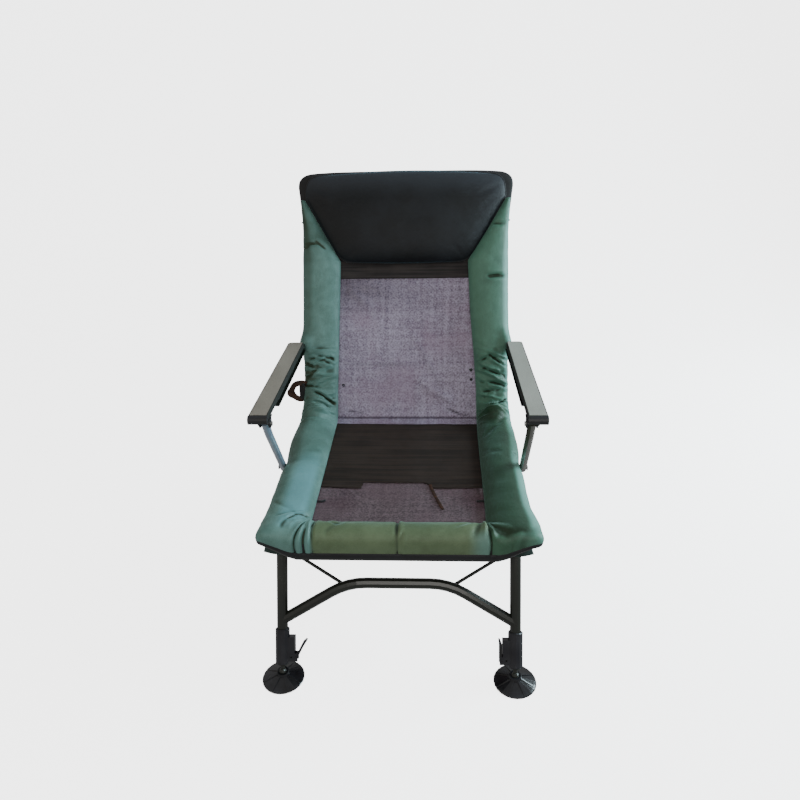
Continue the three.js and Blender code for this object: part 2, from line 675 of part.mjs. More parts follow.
// Headrest: a filled pillow, flat behind, fuller in its middle and wider at its top.
const HEADREST_SIDE_POINTS = 12;
const HEADREST_STEPS = 9;
const HEADREST_ROUND_SHARE = 0.16;
const HEADREST_EDGE_SHARE = 0.22;
const headrestRings = [];
for (let i = 0; i <= HEADREST_STEPS; i++) {
  const v = 0.5 - 0.5 * Math.cos((Math.PI * i) / HEADREST_STEPS);
  const z = THREE.MathUtils.lerp(HEADREST_FOOT, HEADREST_TOP, v);
  const widest = THREE.MathUtils.lerp(HEADREST_FOOT_X, HEADREST_TOP_X, Math.min(v / 0.8, 1));
  const end = Math.min(v, 1 - v) / HEADREST_ROUND_SHARE;
  const round = end < 1 ? Math.sqrt(1 - (1 - end) ** 2) : 1;
  const half = widest * (1 - HEADREST_ROUND_SHARE * (1 - round));
  const full = HEADREST_EDGE_SHARE + (1 - HEADREST_EDGE_SHARE) * Math.sqrt(Math.sin(Math.PI * v));
  const rear = HINGE_RISE - COVER_GAP;
  const ring = [];
  for (let k = 0; k <= HEADREST_SIDE_POINTS; k++) {
    const u = (2 * k) / HEADREST_SIDE_POINTS - 1;
    const x = half * Math.sign(u) * Math.abs(u) ** 0.8;
    const bulge = Math.max(1 - Math.abs(u) ** 3, HEADREST_EDGE_SHARE) ** 0.7;
    ring.push(at(x, rear - HEADREST_THICK * full * bulge, z));
  }
  ring.push(at(half, rear, z), at(-half, rear, z));
  headrestRings.push(ring);
}
const PAD_GAP = 2;
const besidePads = [-1, 1].map((side) => {
  const foot = backPadInner(HEADREST_FOOT) - PAD_GAP;
  const tip = backPadInner(BACK_PAD_TIP) - PAD_GAP;
  return loft(
    [-PAST, HINGE_RISE + PAST].map((y) => [
      at(side * foot, y, HEADREST_FOOT - PAST),
      at(side * foot, y, HEADREST_FOOT),
      at(side * tip, y, BACK_PAD_TIP),
      at(side * (tip + PAST), y, BACK_PAD_TIP),
      at(side * (tip + PAST), y, HEADREST_FOOT - PAST),
    ]),
  );
});
add("headrest_pillow", cut(loft(headrestRings), backSleeve, ...besidePads), BLACK_FABRIC, back);

// Back side of the hinge: a plate on each tube's inner side that turns on the seat plate's pin.
const backHinge = cut(
  join(
    sidePlate(backPlateShape(0), BACK_PLATE_X, BACK_PLATE_X + PLATE_THICK),
    sidePlate(stripShape(0), BACK_PLATE_X, BACK_PLATE_X + PLATE_THICK),
  ),
  crossPin(PIN_R + PIVOT_CLEAR, 0, RAIL_X, 0, 0),
);
addPair("hinge_plate_back", backHinge, PLATED_STEEL, back);

// Rim over the hinge: the soft sleeve that crumples between the seat pad and the back pad.
const FOLD_STEPS = 6;
const FOLD_WAVES = 3;
const FOLD_DEEP = 2.5;
const foldOuterX = BACK_PLATE_X - FIT - BOLT_HEAD_THICK - COVER_GAP;
const foldRings = [];
for (let i = 0; i <= FOLD_STEPS + 2; i++) {
  const share = THREE.MathUtils.clamp((i - 1) / FOLD_STEPS, 0, 1);
  const angle = THREE.MathUtils.lerp(-Math.PI / 2, -BACK_LEAN, share);
  const seatRun = i === 0 ? HINGE_Y - SEAT_PAD_REAR - FIT : 0;
  const backRun = i === FOLD_STEPS + 2 ? BACK_PAD_FOOT - FIT : 0;
  const wave = FOLD_DEEP * Math.cos(2 * Math.PI * FOLD_WAVES * share);
  const near = HINGE_RISE - COVER_GAP - PAD_THICK * 0.85 + wave;
  const far = HINGE_RISE - COVER_GAP;
  const wide = foldOuterX - SEAT_OPENING_X;
  const section = [
    [0, far],
    [0, (near + far) / 2],
    [0.2, near + FOLD_DEEP],
    [0.5, near],
    [0.85, near + FOLD_DEEP],
    [1, (near + far) / 2],
    [1, far],
  ];
  foldRings.push(
    section.map(([u, r]) =>
      at(
        SEAT_OPENING_X + wide * u,
        HINGE_Y + r * Math.cos(angle) - seatRun + backRun * Math.sin(BACK_LEAN),
        HINGE_Z + r * Math.sin(angle) + backRun * Math.cos(BACK_LEAN),
      ),
    ),
  );
}
addPair("rim_fold", loft(foldRings), GREEN_FABRIC);

// Leg frames: two tubes joined by an arched or a straight cross tube, bored for the inner legs.
const LEG_TOP_BORE = INNER_LEG_TOP - TUBE_R;
function legFrame(halfWidth, crossPath) {
  const bolt = PIN_R + PIVOT_CLEAR;
  const sides = [-1, 1];
  const down = (x, high, low, radius) => bar([at(x, 0, high), at(x, 0, low)], radius, 12);
  const tubes = sides.map((side) => down(side * halfWidth, LEG_TUBE_TOP, -LEG_TUBE_END, TUBE_R));
  const bores = sides.flatMap((side) => [
    down(side * halfWidth, -LEG_TOP_BORE, -LEG_TUBE_END - PAST, LEG_BORE_R),
    crossPin(bolt, side * halfWidth - PAST, side * halfWidth + PAST, 0, 0),
  ]);
  return cut(join(bar(crossPath, ARCH_R, 10), ...tubes), ...bores);
}
const ARCH_BEND = 160;
const ARCH_CORNER_X = 115;
const archSlope = (ARCH_FOOT - ARCH_DROP) / (FRONT_LEG_X - ARCH_R - ARCH_CORNER_X);
const archEnd = -ARCH_FOOT - ARCH_R * archSlope;
const archPath = bentPath(
  [
    at(FRONT_LEG_X, 0, archEnd),
    at(ARCH_CORNER_X, 0, -ARCH_DROP),
    at(-ARCH_CORNER_X, 0, -ARCH_DROP),
    at(-FRONT_LEG_X, 0, archEnd),
  ],
  ARCH_BEND,
  4,
);
const rearCrossPath = [at(REAR_LEG_X, 0, -ARCH_DROP), at(-REAR_LEG_X, 0, -ARCH_DROP)];

const frontLegs = new THREE.Group();
frontLegs.position.set(0, 0, LEG_PIVOT_Z);
frontLegs.rotation.x = -LEG_SLANT;
chair.add(frontLegs);
const rearLegs = new THREE.Group();
rearLegs.position.set(0, REAR_LEG_Y, LEG_PIVOT_Z);
rearLegs.rotation.x = LEG_SLANT;
chair.add(rearLegs);

// Braces: thin rods with flattened ends, bolted behind the arch and the leg tops.
const BRACE_LOW_X = 128;
const BRACE_LOW_DROP = 99;
const BRACE_TOP_DROP = 24;
const BRACE_SEAT = 0.45;
const braceRod = bar(
  [
    at(BRACE_LOW_X, ARCH_R + BRACE_R - BRACE_SEAT, -BRACE_LOW_DROP),
    at(FRONT_LEG_X - TUBE_R - BRACE_R, TUBE_R + BRACE_R - BRACE_SEAT, -BRACE_TOP_DROP),
    at(FRONT_LEG_X, TUBE_R + BRACE_R - BRACE_SEAT, -BRACE_TOP_DROP),
  ],
  BRACE_R,
  8,
);
addPair("front_leg_brace", braceRod, FRAME_STEEL, frontLegs);
add("front_leg_frame", legFrame(FRONT_LEG_X, archPath), FRAME_STEEL, frontLegs);
add("rear_leg_frame", legFrame(REAR_LEG_X, rearCrossPath), FRAME_STEEL, rearLegs);

// Leg clamps: a split collar on each tube's end, with a housing and a cam lever on its inner side.
const CLAMP_WALL = 11;
const CLAMP_LONG = 81;
const CLAMP_FOOT = LEG_TUBE_END + CLAMP_WALL;
const CLAMP_TOP = CLAMP_FOOT - CLAMP_LONG;
const CLAMP_R = 16.5;
const CLAMP_CHAMFER = 2;
const HOUSING_REACH = 29;
const HOUSING_HALF = 9.5;
const HOUSING_STEP = 7;
const HOUSING_LONG = 56;
const HOUSING_FOOT = CLAMP_FOOT - HOUSING_STEP;
const HOUSING_TOP = HOUSING_FOOT - HOUSING_LONG;
const LEVER_EYE_X = 32;
const LEVER_EYE_R = 4;
const LEVER_EYE_RISE = 10;
const LEVER_EYE_DROP = HOUSING_FOOT - LEVER_EYE_RISE;
const LEVER_LONG = 45;
const LEVER_HALF = 7;
const LEVER_THICK = 4.5;
const LEVER_OPEN = THREE.MathUtils.degToRad(27);
const LEVER_PIN_R = 2;
const WINDOW_R = 3;
const WINDOW_X = 21.3;

const clampBore = TUBE_R + FIT * 2;
const rodBore = INNER_LEG_R + FIT * 2;
const collarProfile = [
  [clampBore, -CLAMP_TOP],
  [CLAMP_R - CLAMP_CHAMFER, -CLAMP_TOP],
  [CLAMP_R, -CLAMP_TOP - CLAMP_CHAMFER],
  [CLAMP_R, -CLAMP_FOOT + CLAMP_CHAMFER],
  [CLAMP_R - CLAMP_CHAMFER, -CLAMP_FOOT],
  [rodBore, -CLAMP_FOOT],
  [rodBore, -LEG_TUBE_END - FIT],
  [clampBore, -LEG_TUBE_END - FIT],
  [clampBore, -CLAMP_TOP],
];
const housing = block(
  at(-HOUSING_REACH, -HOUSING_HALF, -HOUSING_FOOT),
  at(-TUBE_R, HOUSING_HALF, -HOUSING_TOP),
);
const cheeks = block(
  at(-LEVER_EYE_X - LEVER_EYE_R, -HOUSING_HALF, -HOUSING_FOOT),
  at(-HOUSING_REACH + CLAMP_CHAMFER, HOUSING_HALF, -LEVER_EYE_DROP + LEVER_EYE_R * 2),
);
const eyeRoom = block(
  at(-HOUSING_REACH - PAST, -LEVER_HALF - FIT, -HOUSING_FOOT - PAST),
  at(-HOUSING_REACH, LEVER_HALF + FIT, -HOUSING_TOP),
);
const swingRoom = block(
  at(-LEVER_EYE_X, -LEVER_HALF - FIT, -HOUSING_FOOT - PAST),
  at(-LEVER_EYE_X + LEVER_EYE_R + FIT * 2, LEVER_HALF + FIT, -LEVER_EYE_DROP + LEVER_EYE_R + FIT * 2),
);
const alongY = (radius, half, x, z, sides) => bar([at(x, -half, z), at(x, half, z)], radius, sides);
const clamp = cut(
  join(turned(collarProfile, 12), housing, cheeks),
  bar([at(0, 0, -CLAMP_TOP), at(0, 0, -LEG_TUBE_END - FIT)], clampBore, 12),
  bar([at(0, 0, -CLAMP_TOP), at(0, 0, -CLAMP_FOOT - PAST)], rodBore, 12),
  eyeRoom,
  swingRoom,
  alongY(LEVER_PIN_R + PIVOT_CLEAR, PAST, -LEVER_EYE_X, -LEVER_EYE_DROP, 8),
  alongY(WINDOW_R, PAST, -WINDOW_X, -LEVER_EYE_DROP, 8),
);

const leverShape = new THREE.Shape();
leverShape.moveTo(-LEVER_THICK / 2, -LEVER_EYE_R);
leverShape.lineTo(LEVER_THICK / 2 - CLAMP_CHAMFER / 2, -LEVER_EYE_R);
leverShape.lineTo(LEVER_THICK / 2 - CLAMP_CHAMFER / 2, LEVER_LONG * 0.8);
leverShape.lineTo(-LEVER_THICK / 2, LEVER_LONG);
leverShape.lineTo(-LEVER_THICK * 1.3, LEVER_LONG);
leverShape.lineTo(-LEVER_THICK, LEVER_LONG * 0.7);
leverShape.lineTo(-LEVER_THICK, 0);
leverShape.closePath();
const leverArm = new THREE.ExtrudeGeometry(leverShape, {
  depth: LEVER_HALF * 2,
  bevelEnabled: false,
});
leverArm.rotateX(Math.PI / 2).translate(0, LEVER_HALF, 0);
const lever = join(leverArm, alongY(LEVER_PIN_R, HOUSING_HALF - FIT, 0, 0, 8));

// Inner legs: a rod that slides in the tube and ends in a neck and a ball.
const NECK_LONG = 16;
const NECK_R = 5;
const ball = new THREE.SphereGeometry(BALL_R, 12, 8).rotateX(Math.PI / 2);
const innerLeg = join(
  bar([at(0, 0, -INNER_LEG_TOP), at(0, 0, -BALL_DROP + NECK_LONG)], INNER_LEG_R, 12),
  bar([at(0, 0, -BALL_DROP + NECK_LONG + BALL_R), at(0, 0, -BALL_DROP)], NECK_R, 10),
  ball.translate(0, 0, -BALL_DROP),
);

// Mud feet: a ribbed cone with a socket that holds the ball.
const SOCKET_R = 15;
const SOCKET_TOP = 22;
const SOCKET_CLEAR = 0.4;
const RIM_HIGH = 3.5;
const CONE_FOOT_R = 43;
const CONE_FOOT_HIGH = 5;
const CONE_TOP_HIGH = 14;
const RIB_THICK = 2.6;
const RIB_RISE = 3;
const RIB_END = 3;
const socketR = BALL_R + SOCKET_CLEAR;
const mouth = Math.sqrt(socketR ** 2 - (SOCKET_TOP - BALL_HEIGHT) ** 2);
const footProfile = [
  [0, 0],
  [FOOT_R - RIB_END / 2, 0],
  [FOOT_R, RIM_HIGH / 2],
  [FOOT_R - RIB_END / 2, RIM_HIGH],
  [CONE_FOOT_R, CONE_FOOT_HIGH],
  [SOCKET_R, CONE_TOP_HIGH],
  [SOCKET_R - RIB_END / 2, SOCKET_TOP],
  [mouth, SOCKET_TOP],
];
for (let k = 1; k <= 4; k++) {
  const angle = THREE.MathUtils.lerp(Math.asin(mouth / socketR), Math.PI, k / 4);
  footProfile.push([
    k < 4 ? socketR * Math.sin(angle) : 0,
    BALL_HEIGHT + socketR * Math.cos(angle),
  ]);
}
const rib = sidePlate(
  [
    new THREE.Vector2(SOCKET_R - RIB_END, CONE_FOOT_HIGH),
    new THREE.Vector2(FOOT_R - RIB_END, RIM_HIGH / 2),
    new THREE.Vector2(FOOT_R - RIB_END, RIM_HIGH + RIB_RISE / 2),
    new THREE.Vector2(SOCKET_R - RIB_END / 3, CONE_TOP_HIGH + RIB_RISE),
    new THREE.Vector2(SOCKET_R - RIB_END, CONE_TOP_HIGH + RIB_RISE),
  ],
  -RIB_THICK / 2,
  RIB_THICK / 2,
);
const footRibs = Array.from({ length: FOOT_RIBS }, (_, k) =>
  rib.clone().rotateZ((2 * Math.PI * (k + 0.5)) / FOOT_RIBS),
);
const mudFoot = join(turned(footProfile, 24), ...footRibs);

const legSets = [
  ["front", frontLegs, FRONT_LEG_X, -LEG_STEP],
  ["rear", rearLegs, REAR_LEG_X, REAR_LEG_Y + LEG_STEP],
];
for (const [row, group, x, footY] of legSets) {
  for (const [side, sign] of [["left", -1], ["right", 1]]) {
    const leg = new THREE.Group();
    leg.position.x = sign * x;
    leg.scale.x = sign;
    group.add(leg);
    add(`leg_clamp_${row}_${side}`, clamp.clone(), CLAMP_PLASTIC, leg);
    add(`inner_leg_${row}_${side}`, innerLeg.clone(), FRAME_STEEL, leg);
    const hinge = new THREE.Group();
    hinge.position.set(-LEVER_EYE_X, 0, -LEVER_EYE_DROP);
    if (row === "front" && side === "left") hinge.rotation.y = -LEVER_OPEN;
    leg.add(hinge);
    add(`clamp_lever_${row}_${side}`, lever.clone(), CLAMP_PLASTIC, hinge);
    const foot = add(`mud_foot_${row}_${side}`, mudFoot.clone(), FOOT_PLASTIC);
    foot.position.set(sign * x, footY, 0);
  }
}

// Arm posts: bent tubes from the bolt beside the seat rail up to the armrest's front.
const POST_BEND_X = 301;
const POST_BEND_Y = 133;
const POST_BEND_Z = 495;
const POST_BEND = 40;
const POST_END = 4;
const CAP_PIN_R = 3;
const postFoot = at(POST_PIVOT_X, POST_PIVOT_Y, POST_PIVOT_Z);
const postBend = at(POST_BEND_X, POST_BEND_Y, POST_BEND_Z);
const postTop = at(POST_TOP_X, POST_TOP_Y, POST_TOP_Z);
const postDown = postFoot.clone().sub(postBend).normalize();
const postUp = postTop.clone().sub(postBend).normalize();
postFoot.addScaledVector(postDown, POST_R);
postTop.addScaledVector(postUp, POST_END);
const postPath = bentPath([postFoot, postBend, postTop], POST_BEND, 4);
const armPost = cut(
  bar(postPath, POST_R, 12),
  crossPin(PIN_R + PIVOT_CLEAR, RAIL_X, POST_PIVOT_X + PAST, POST_PIVOT_Y, POST_PIVOT_Z),
  crossPin(CAP_PIN_R + PIVOT_CLEAR, RAIL_X, POST_TOP_X + PAST, POST_TOP_Y, POST_TOP_Z),
);
addPair("arm_post", armPost, POST_STEEL);

// Armrests: a board on a channel, set out from the bolt at the post's top.
const arm = new THREE.Group();
arm.position.set(0, POST_TOP_Y, POST_TOP_Z);
arm.rotation.x = -ARMREST_SLOPE;
chair.add(arm);
const BOARD_FRONT = -16;
const BOARD_CORNER = 9;
const BOARD_EDGE = 2;
const boardLow = ARMREST_RISE - ARMREST_THICK;
const boardHalf = ARMREST_WIDE / 2 - BOARD_EDGE;
const boardShape = new THREE.Shape();
const boardNear = BOARD_FRONT + BOARD_EDGE;
const boardFar = BOARD_FRONT + ARMREST_LONG - BOARD_EDGE;
boardShape.moveTo(ARMREST_X - boardHalf, boardNear);
boardShape.lineTo(ARMREST_X + boardHalf, boardNear);
boardShape.lineTo(ARMREST_X + boardHalf, boardFar - BOARD_CORNER);
boardShape.quadraticCurveTo(
  ARMREST_X + boardHalf,
  boardFar,
  ARMREST_X + boardHalf - BOARD_CORNER,
  boardFar,
);
boardShape.lineTo(ARMREST_X - boardHalf + BOARD_CORNER, boardFar);
boardShape.quadraticCurveTo(
  ARMREST_X - boardHalf,
  boardFar,
  ARMREST_X - boardHalf,
  boardFar - BOARD_CORNER,
);
boardShape.closePath();
const board = new THREE.ExtrudeGeometry(boardShape, {
  depth: ARMREST_THICK - BOARD_EDGE * 2,
  bevelThickness: BOARD_EDGE,
  bevelSize: BOARD_EDGE,
  bevelSegments: 2,
  curveSegments: 4,
}).translate(0, 0, boardLow + BOARD_EDGE);
addPair("armrest_top", board, ARMREST_PLASTIC, arm);

const CHANNEL_X = 288;
const CHANNEL_WIDE = 15;
const CHANNEL_LOW = -5.5;
const CHANNEL_WALL = 2;
const CHANNEL_FRONT = 100;
const CHANNEL_REAR = 507;
const channelFar = CHANNEL_X + CHANNEL_WIDE;
const channelTop = boardLow - FIT;
const channel = cut(
  block(at(CHANNEL_X, CHANNEL_FRONT, CHANNEL_LOW), at(channelFar, CHANNEL_REAR, channelTop)),
  block(
    at(CHANNEL_X - PAST, CHANNEL_FRONT - PAST, CHANNEL_LOW + CHANNEL_WALL),
    at(channelFar - CHANNEL_WALL, CHANNEL_REAR + PAST, channelTop - CHANNEL_WALL),
  ),
);
addPair("armrest_channel", channel, POST_STEEL, arm);

const CAP_FRONT = -23;
const CAP_REAR = 20;
const CAP_PLATE = 2.5;
const CAP_LOW = 8;
const EAR_THICK = 3.2;
const CAP_EAR_R = 10;
const earIn = POST_TOP_X - POST_R - FIT;
const earOut = POST_TOP_X + POST_R + FIT;
const ears = [
  [earIn - EAR_THICK, earIn],
  [earOut, earOut + EAR_THICK],
].map(([low, high]) =>
  sidePlate(strapShape(0, 0, CAP_EAR_R, 0, boardLow, CAP_EAR_R * 1.2), low, high),
);
const capMiddle = (CAP_FRONT + BOARD_FRONT) / 2;
const capRise = (CAP_LOW + ARMREST_RISE) / 2;
const capPlateTop = boardLow - FIT;
const capNose = bar(
  [
    at(ARMREST_X - ARMREST_WIDE / 2, capMiddle, capRise),
    at(ARMREST_X + ARMREST_WIDE / 2, capMiddle, capRise),
  ],
  (ARMREST_RISE - CAP_LOW) / 2,
  14,
);
const capRoom = block(
  at(0, BOARD_FRONT - FIT, capPlateTop),
  at(ARMREST_X + PAST, BOARD_FRONT + PAST, ARMREST_RISE + PAST),
);
const capPlate = block(
  at(earIn - EAR_THICK, capMiddle, capPlateTop - CAP_PLATE),
  at(ARMREST_X + ARMREST_WIDE / 2, CAP_REAR, capPlateTop),
);
const underPlate = block(
  at(earIn, -PAST, -PAST),
  at(earOut, PAST, capPlateTop - CAP_PLATE),
);
const boltHole = crossPin(CAP_PIN_R + PIVOT_CLEAR, 0, ARMREST_X + PAST, 0, 0);
const endCap = cut(join(capNose, capPlate, ...ears), capRoom, underPlate, boltHole);
addPair("armrest_end_cap", endCap, CLAMP_PLASTIC, arm);

const CAP_HEAD_R = 5.5;
const headIn = earIn - EAR_THICK - FIT;
const headOut = earOut + EAR_THICK + FIT;
const capBolt = join(
  crossPin(CAP_PIN_R, headIn - FIT, headOut + FIT, 0, 0),
  crossPin(CAP_HEAD_R, headIn - BOLT_HEAD_THICK, headIn, 0, 0, 10),
  crossPin(CAP_HEAD_R, headOut, headOut + BOLT_HEAD_THICK, 0, 0, 10),
);
addPair("armrest_bolt", capBolt, PLATED_STEEL, arm);

// The chair stands on its feet, with the middle of the ground that it covers at the origin.
const whole = new THREE.Group();
whole.add(chair);
whole.updateMatrixWorld(true);
const covered = new THREE.Box3().setFromObject(chair, true);
chair.position.set(0, -(covered.min.y + covered.max.y) / 2, -covered.min.z);

export default whole;
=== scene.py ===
import math
import bmesh
import bpy
import numpy as np
from mathutils import Matrix, Vector, noise


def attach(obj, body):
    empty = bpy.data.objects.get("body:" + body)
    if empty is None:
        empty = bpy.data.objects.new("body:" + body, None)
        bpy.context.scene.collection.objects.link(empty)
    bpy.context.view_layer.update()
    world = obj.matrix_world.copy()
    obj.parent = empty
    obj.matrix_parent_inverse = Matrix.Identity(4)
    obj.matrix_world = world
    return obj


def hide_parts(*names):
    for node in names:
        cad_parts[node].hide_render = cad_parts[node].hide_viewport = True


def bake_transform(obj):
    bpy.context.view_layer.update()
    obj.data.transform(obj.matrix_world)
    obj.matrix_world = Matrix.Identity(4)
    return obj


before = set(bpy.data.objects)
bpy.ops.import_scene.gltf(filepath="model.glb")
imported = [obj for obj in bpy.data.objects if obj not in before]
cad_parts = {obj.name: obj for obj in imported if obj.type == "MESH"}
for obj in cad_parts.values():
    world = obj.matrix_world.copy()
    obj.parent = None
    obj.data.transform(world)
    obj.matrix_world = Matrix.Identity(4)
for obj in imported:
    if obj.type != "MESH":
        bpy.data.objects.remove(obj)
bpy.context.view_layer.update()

# Camera: it stands in front of the chair, a little to its right, and looks down into the seat.
# Its place, tilt and lens were worked out from the leg tubes, the feet and the armrests.
camera_place = (0.0755, -1.531, 1.2554)
camera = bpy.data.objects.new("camera", bpy.data.cameras.new("camera"))
camera.data.sensor_width = 36
camera.data.lens = 29.86
camera.data.clip_end = 50
look_down, look_left, camera_roll = (math.radians(angle) for angle in (26.7, -3.0, -1.4))
ahead = Vector((
    math.sin(look_left) * math.cos(look_down),
    math.cos(look_left) * math.cos(look_down),
    -math.sin(look_down),
))
level = Vector((math.cos(look_left), -math.sin(look_left), 0))
upright = level.cross(ahead)
across = level * math.cos(camera_roll) + upright * math.sin(camera_roll)
upward = upright * math.cos(camera_roll) - level * math.sin(camera_roll)
turned = Matrix((across, upward, -ahead)).transposed().to_4x4()
camera.matrix_world = Matrix.Translation(camera_place) @ turned
bpy.context.scene.collection.objects.link(camera)
bpy.context.scene.camera = camera

# Floor: a pale studio sweep, flat under the chair and curved up far behind it. It is matt and barely
# mottled, and glows evenly, but casts none of that on the chair.
def mesh_piece(name, corners, faces):
    mesh = bpy.data.meshes.new(name)
    mesh.from_pydata([tuple(corner) for corner in corners], [], faces)
    mesh.update()
    mesh.shade_smooth()
    piece = bpy.data.objects.new(name, mesh)
    bpy.context.scene.collection.objects.link(piece)
    return piece


class Flow:
    """One output of a material's nodes. Arithmetic on it adds Math nodes."""

    def __init__(self, tree, socket=None):
        self.tree, self.socket = tree, socket

    def node(self, kind, settings, inputs, output=0):
        """A new node with those settings and inputs, as the Flow from one of its outputs."""
        made = self.tree.nodes.new(kind)
        for name, value in settings.items():
            setattr(made, name, value)
        for name, value in inputs.items():
            if isinstance(value, Flow):
                self.tree.links.new(value.socket, made.inputs[name])
            else:
                made.inputs[name].default_value = value
        return Flow(self.tree, made.outputs[output])

    def _math(self, operation, first, second):
        return self.node("ShaderNodeMath", {"operation": operation}, {0: first, 1: second})

    def __add__(self, other):
        return self._math("ADD", self, other)

    def __mul__(self, other):
        return self._math("MULTIPLY", self, other)

    def __sub__(self, other):
        return self._math("SUBTRACT", self, other)

    def __rsub__(self, other):
        return self._math("SUBTRACT", other, self)

    def __truediv__(self, other):
        return self._math("DIVIDE", self, other)

    def clipped(self, low, high):
        """0 below low, 1 above high, and an easy climb between them."""
        limits = {"Value": self, "From Min": low, "From Max": high}
        return self.node("ShaderNodeMapRange", {"interpolation_type": "SMOOTHSTEP"}, limits)

    def mixed(self, first, second):
        """first where this is 0, second where it is 1; both are colours."""
        sockets = {0: self, 6: first, 7: second}
        return self.node("ShaderNodeMix", {"data_type": "RGBA"}, sockets, 2)


def rgb(red, green, blue):
    """A screen colour, each channel to 255, as the linear colour that a shader takes."""
    levels = [channel / 255 for channel in (red, green, blue)]
    return tuple(v / 12.92 if v < 0.04045 else ((v + 0.055) / 1.055) ** 2.4 for v in levels) + (1,)


def new_finish(name, **sockets):
    """A material with one Principled shader, the Flow that its nodes start from, and its place."""
    finish = bpy.data.materials.new(name)
    finish.use_nodes = True
    shader = finish.node_tree.nodes["Principled BSDF"]
    for socket, value in sockets.items():
        shader.inputs[socket.replace("_", " ")].default_value = value
    flow = Flow(finish.node_tree)
    return finish, flow, flow.node("ShaderNodeTexCoord", {}, {}, "Object")


def feed(finish, **sockets):
    shader = finish.node_tree.nodes["Principled BSDF"]
    for socket, value in sockets.items():
        finish.node_tree.links.new(value.socket, shader.inputs[socket.replace("_", " ")])


def speckle(flow, place, scale, detail=2.0, stretch=(1, 1, 1)):
    """Noise from 0 to 1 at that many cells a metre, drawn out along an axis where stretch is low."""
    drawn = flow.node("ShaderNodeVectorMath", {"operation": "MULTIPLY"}, {0: place, 1: stretch})
    return flow.node("ShaderNodeTexNoise", {}, {"Vector": drawn, "Scale": scale, "Detail": detail})


def bumped(flow, height, distance, strength, under=None):
    """A bumpy normal from a height, on top of the bumps under it where there are any."""
    sockets = {"Height": height, "Distance": distance, "Strength": strength}
    if under is not None:
        sockets["Normal"] = under
    return flow.node("ShaderNodeBump", {}, sockets)


sweep_half, sweep_front, sweep_back, sweep_bend, sweep_high = 6.0, -5.0, 3.2, 1.6, 6.0
bend_steps = 12
sweep_line = [(sweep_front, 0.0), (sweep_back - sweep_bend, 0.0)]
for step in range(1, bend_steps + 1):
    turn = math.pi / 2 * step / bend_steps
    sweep_line.append((
        sweep_back - sweep_bend + sweep_bend * math.sin(turn),
        sweep_bend - sweep_bend * math.cos(turn),
    ))
sweep_line.append((sweep_back, sweep_high))
floor = mesh_piece(
    "floor",
    [(side * sweep_half, y, z) for y, z in sweep_line for side in (-1, 1)],
    [(2 * i, 2 * i + 1, 2 * i + 3, 2 * i + 2) for i in range(len(sweep_line) - 1)],
)
floor_finish, flow, place = new_finish(
    "floor_paint", Roughness=0.9, Emission_Color=(1, 1, 1, 1), Emission_Strength=3.5
)
mottle = speckle(flow, place, 3)
feed(floor_finish, Base_Color=mottle.mixed(rgb(243, 243, 243), rgb(248, 248, 248)))
floor.data.materials.append(floor_finish)
floor.visible_diffuse = floor.visible_glossy = False

# Light: one broad cool panel on the right, which edges the pads and tubes, a softer one in front
# above the camera, and a weak warm one at the left. The room is dim, so that black stays black.
def light_panel(name, place, aim, size, watts, tint):
    panel = bpy.data.objects.new(name, bpy.data.lights.new(name, "AREA"))
    panel.data.shape = "RECTANGLE"
    panel.data.size, panel.data.size_y = size
    panel.data.energy = watts
    panel.data.color = tint
    panel.visible_camera = False
    panel.location = place
    panel.rotation_euler = (Vector(aim) - Vector(place)).to_track_quat("-Z", "Y").to_euler()
    bpy.context.scene.collection.objects.link(panel)


light_panel("window_panel", (2.5, 0.4, 1.35), (0, 0.05, 0.4), (1.5, 1.6), 95, (0.72, 0.92, 1.0))
light_panel("front_panel", (0.3, -2.6, 2.3), (0, 0, 0.45), (2.0, 1.4), 26, (1.0, 0.97, 0.92))
light_panel("warm_panel", (-2.2, -1.2, 1.3), (0, 0, 0.4), (1.6, 1.2), 7, (1.0, 0.9, 0.76))
room = bpy.data.worlds.new("room")
room.use_nodes = True
dim_room = room.node_tree.nodes["Background"]
dim_room.inputs["Color"].default_value = (1, 1, 1, 1)
dim_room.inputs["Strength"].default_value = 0.3
flow = Flow(room.node_tree)
seen = flow.node("ShaderNodeLightPath", {}, {}, "Is Camera Ray")
pale_wall = flow.node("ShaderNodeBackground", {}, {"Color": (1, 1, 1, 1), "Strength": 3.75})
walls = flow.node(
    "ShaderNodeMixShader", {}, {0: seen, 1: Flow(room.node_tree, dim_room.outputs[0]), 2: pale_wall}
)
room.node_tree.links.new(walls.socket, room.node_tree.nodes["World Output"].inputs["Surface"])
bpy.context.scene.world = room

# Frame tubes: bent steel, powder coated in a dark olive that is half glossy. The coat is a little
# uneven, thinner and duller in patches, with fine dust in places.
def dress(nodes, finish, angle=35):
    """Gives CAD nodes a finish, and smooth faces between their sharp edges."""
    for node in nodes:
        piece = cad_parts[node]
        piece.data.materials.clear()
        piece.data.materials.append(finish)
        piece.data.shade_smooth()
        piece.data.set_sharp_from_angle(angle=math.radians(angle))


def both(*names):
    return [f"{name}_{side}" for name in names for side in ("left", "right")]


def paint(name, base, worn, roughness, coat, peel):
    finish, flow, place = new_finish(name, Coat_Roughness=0.12)
    patches = speckle(flow, place, 9, 4)
    dust = speckle(flow, place, 260, 3).clipped(0.58, 0.74) * patches.clipped(0.45, 0.7)
    shade = patches.clipped(0.35, 0.75).mixed(base, worn)
    feed(
        finish,
        Base_Color=(dust * 0.5).mixed(shade, rgb(92, 94, 84)),
        Roughness=patches * 0.16 + roughness + dust * 0.25,
        Coat_Weight=coat - dust * 0.4 * coat,
        Normal=bumped(flow, speckle(flow, place, 420, 1), peel, 0.5),
    )
    return finish


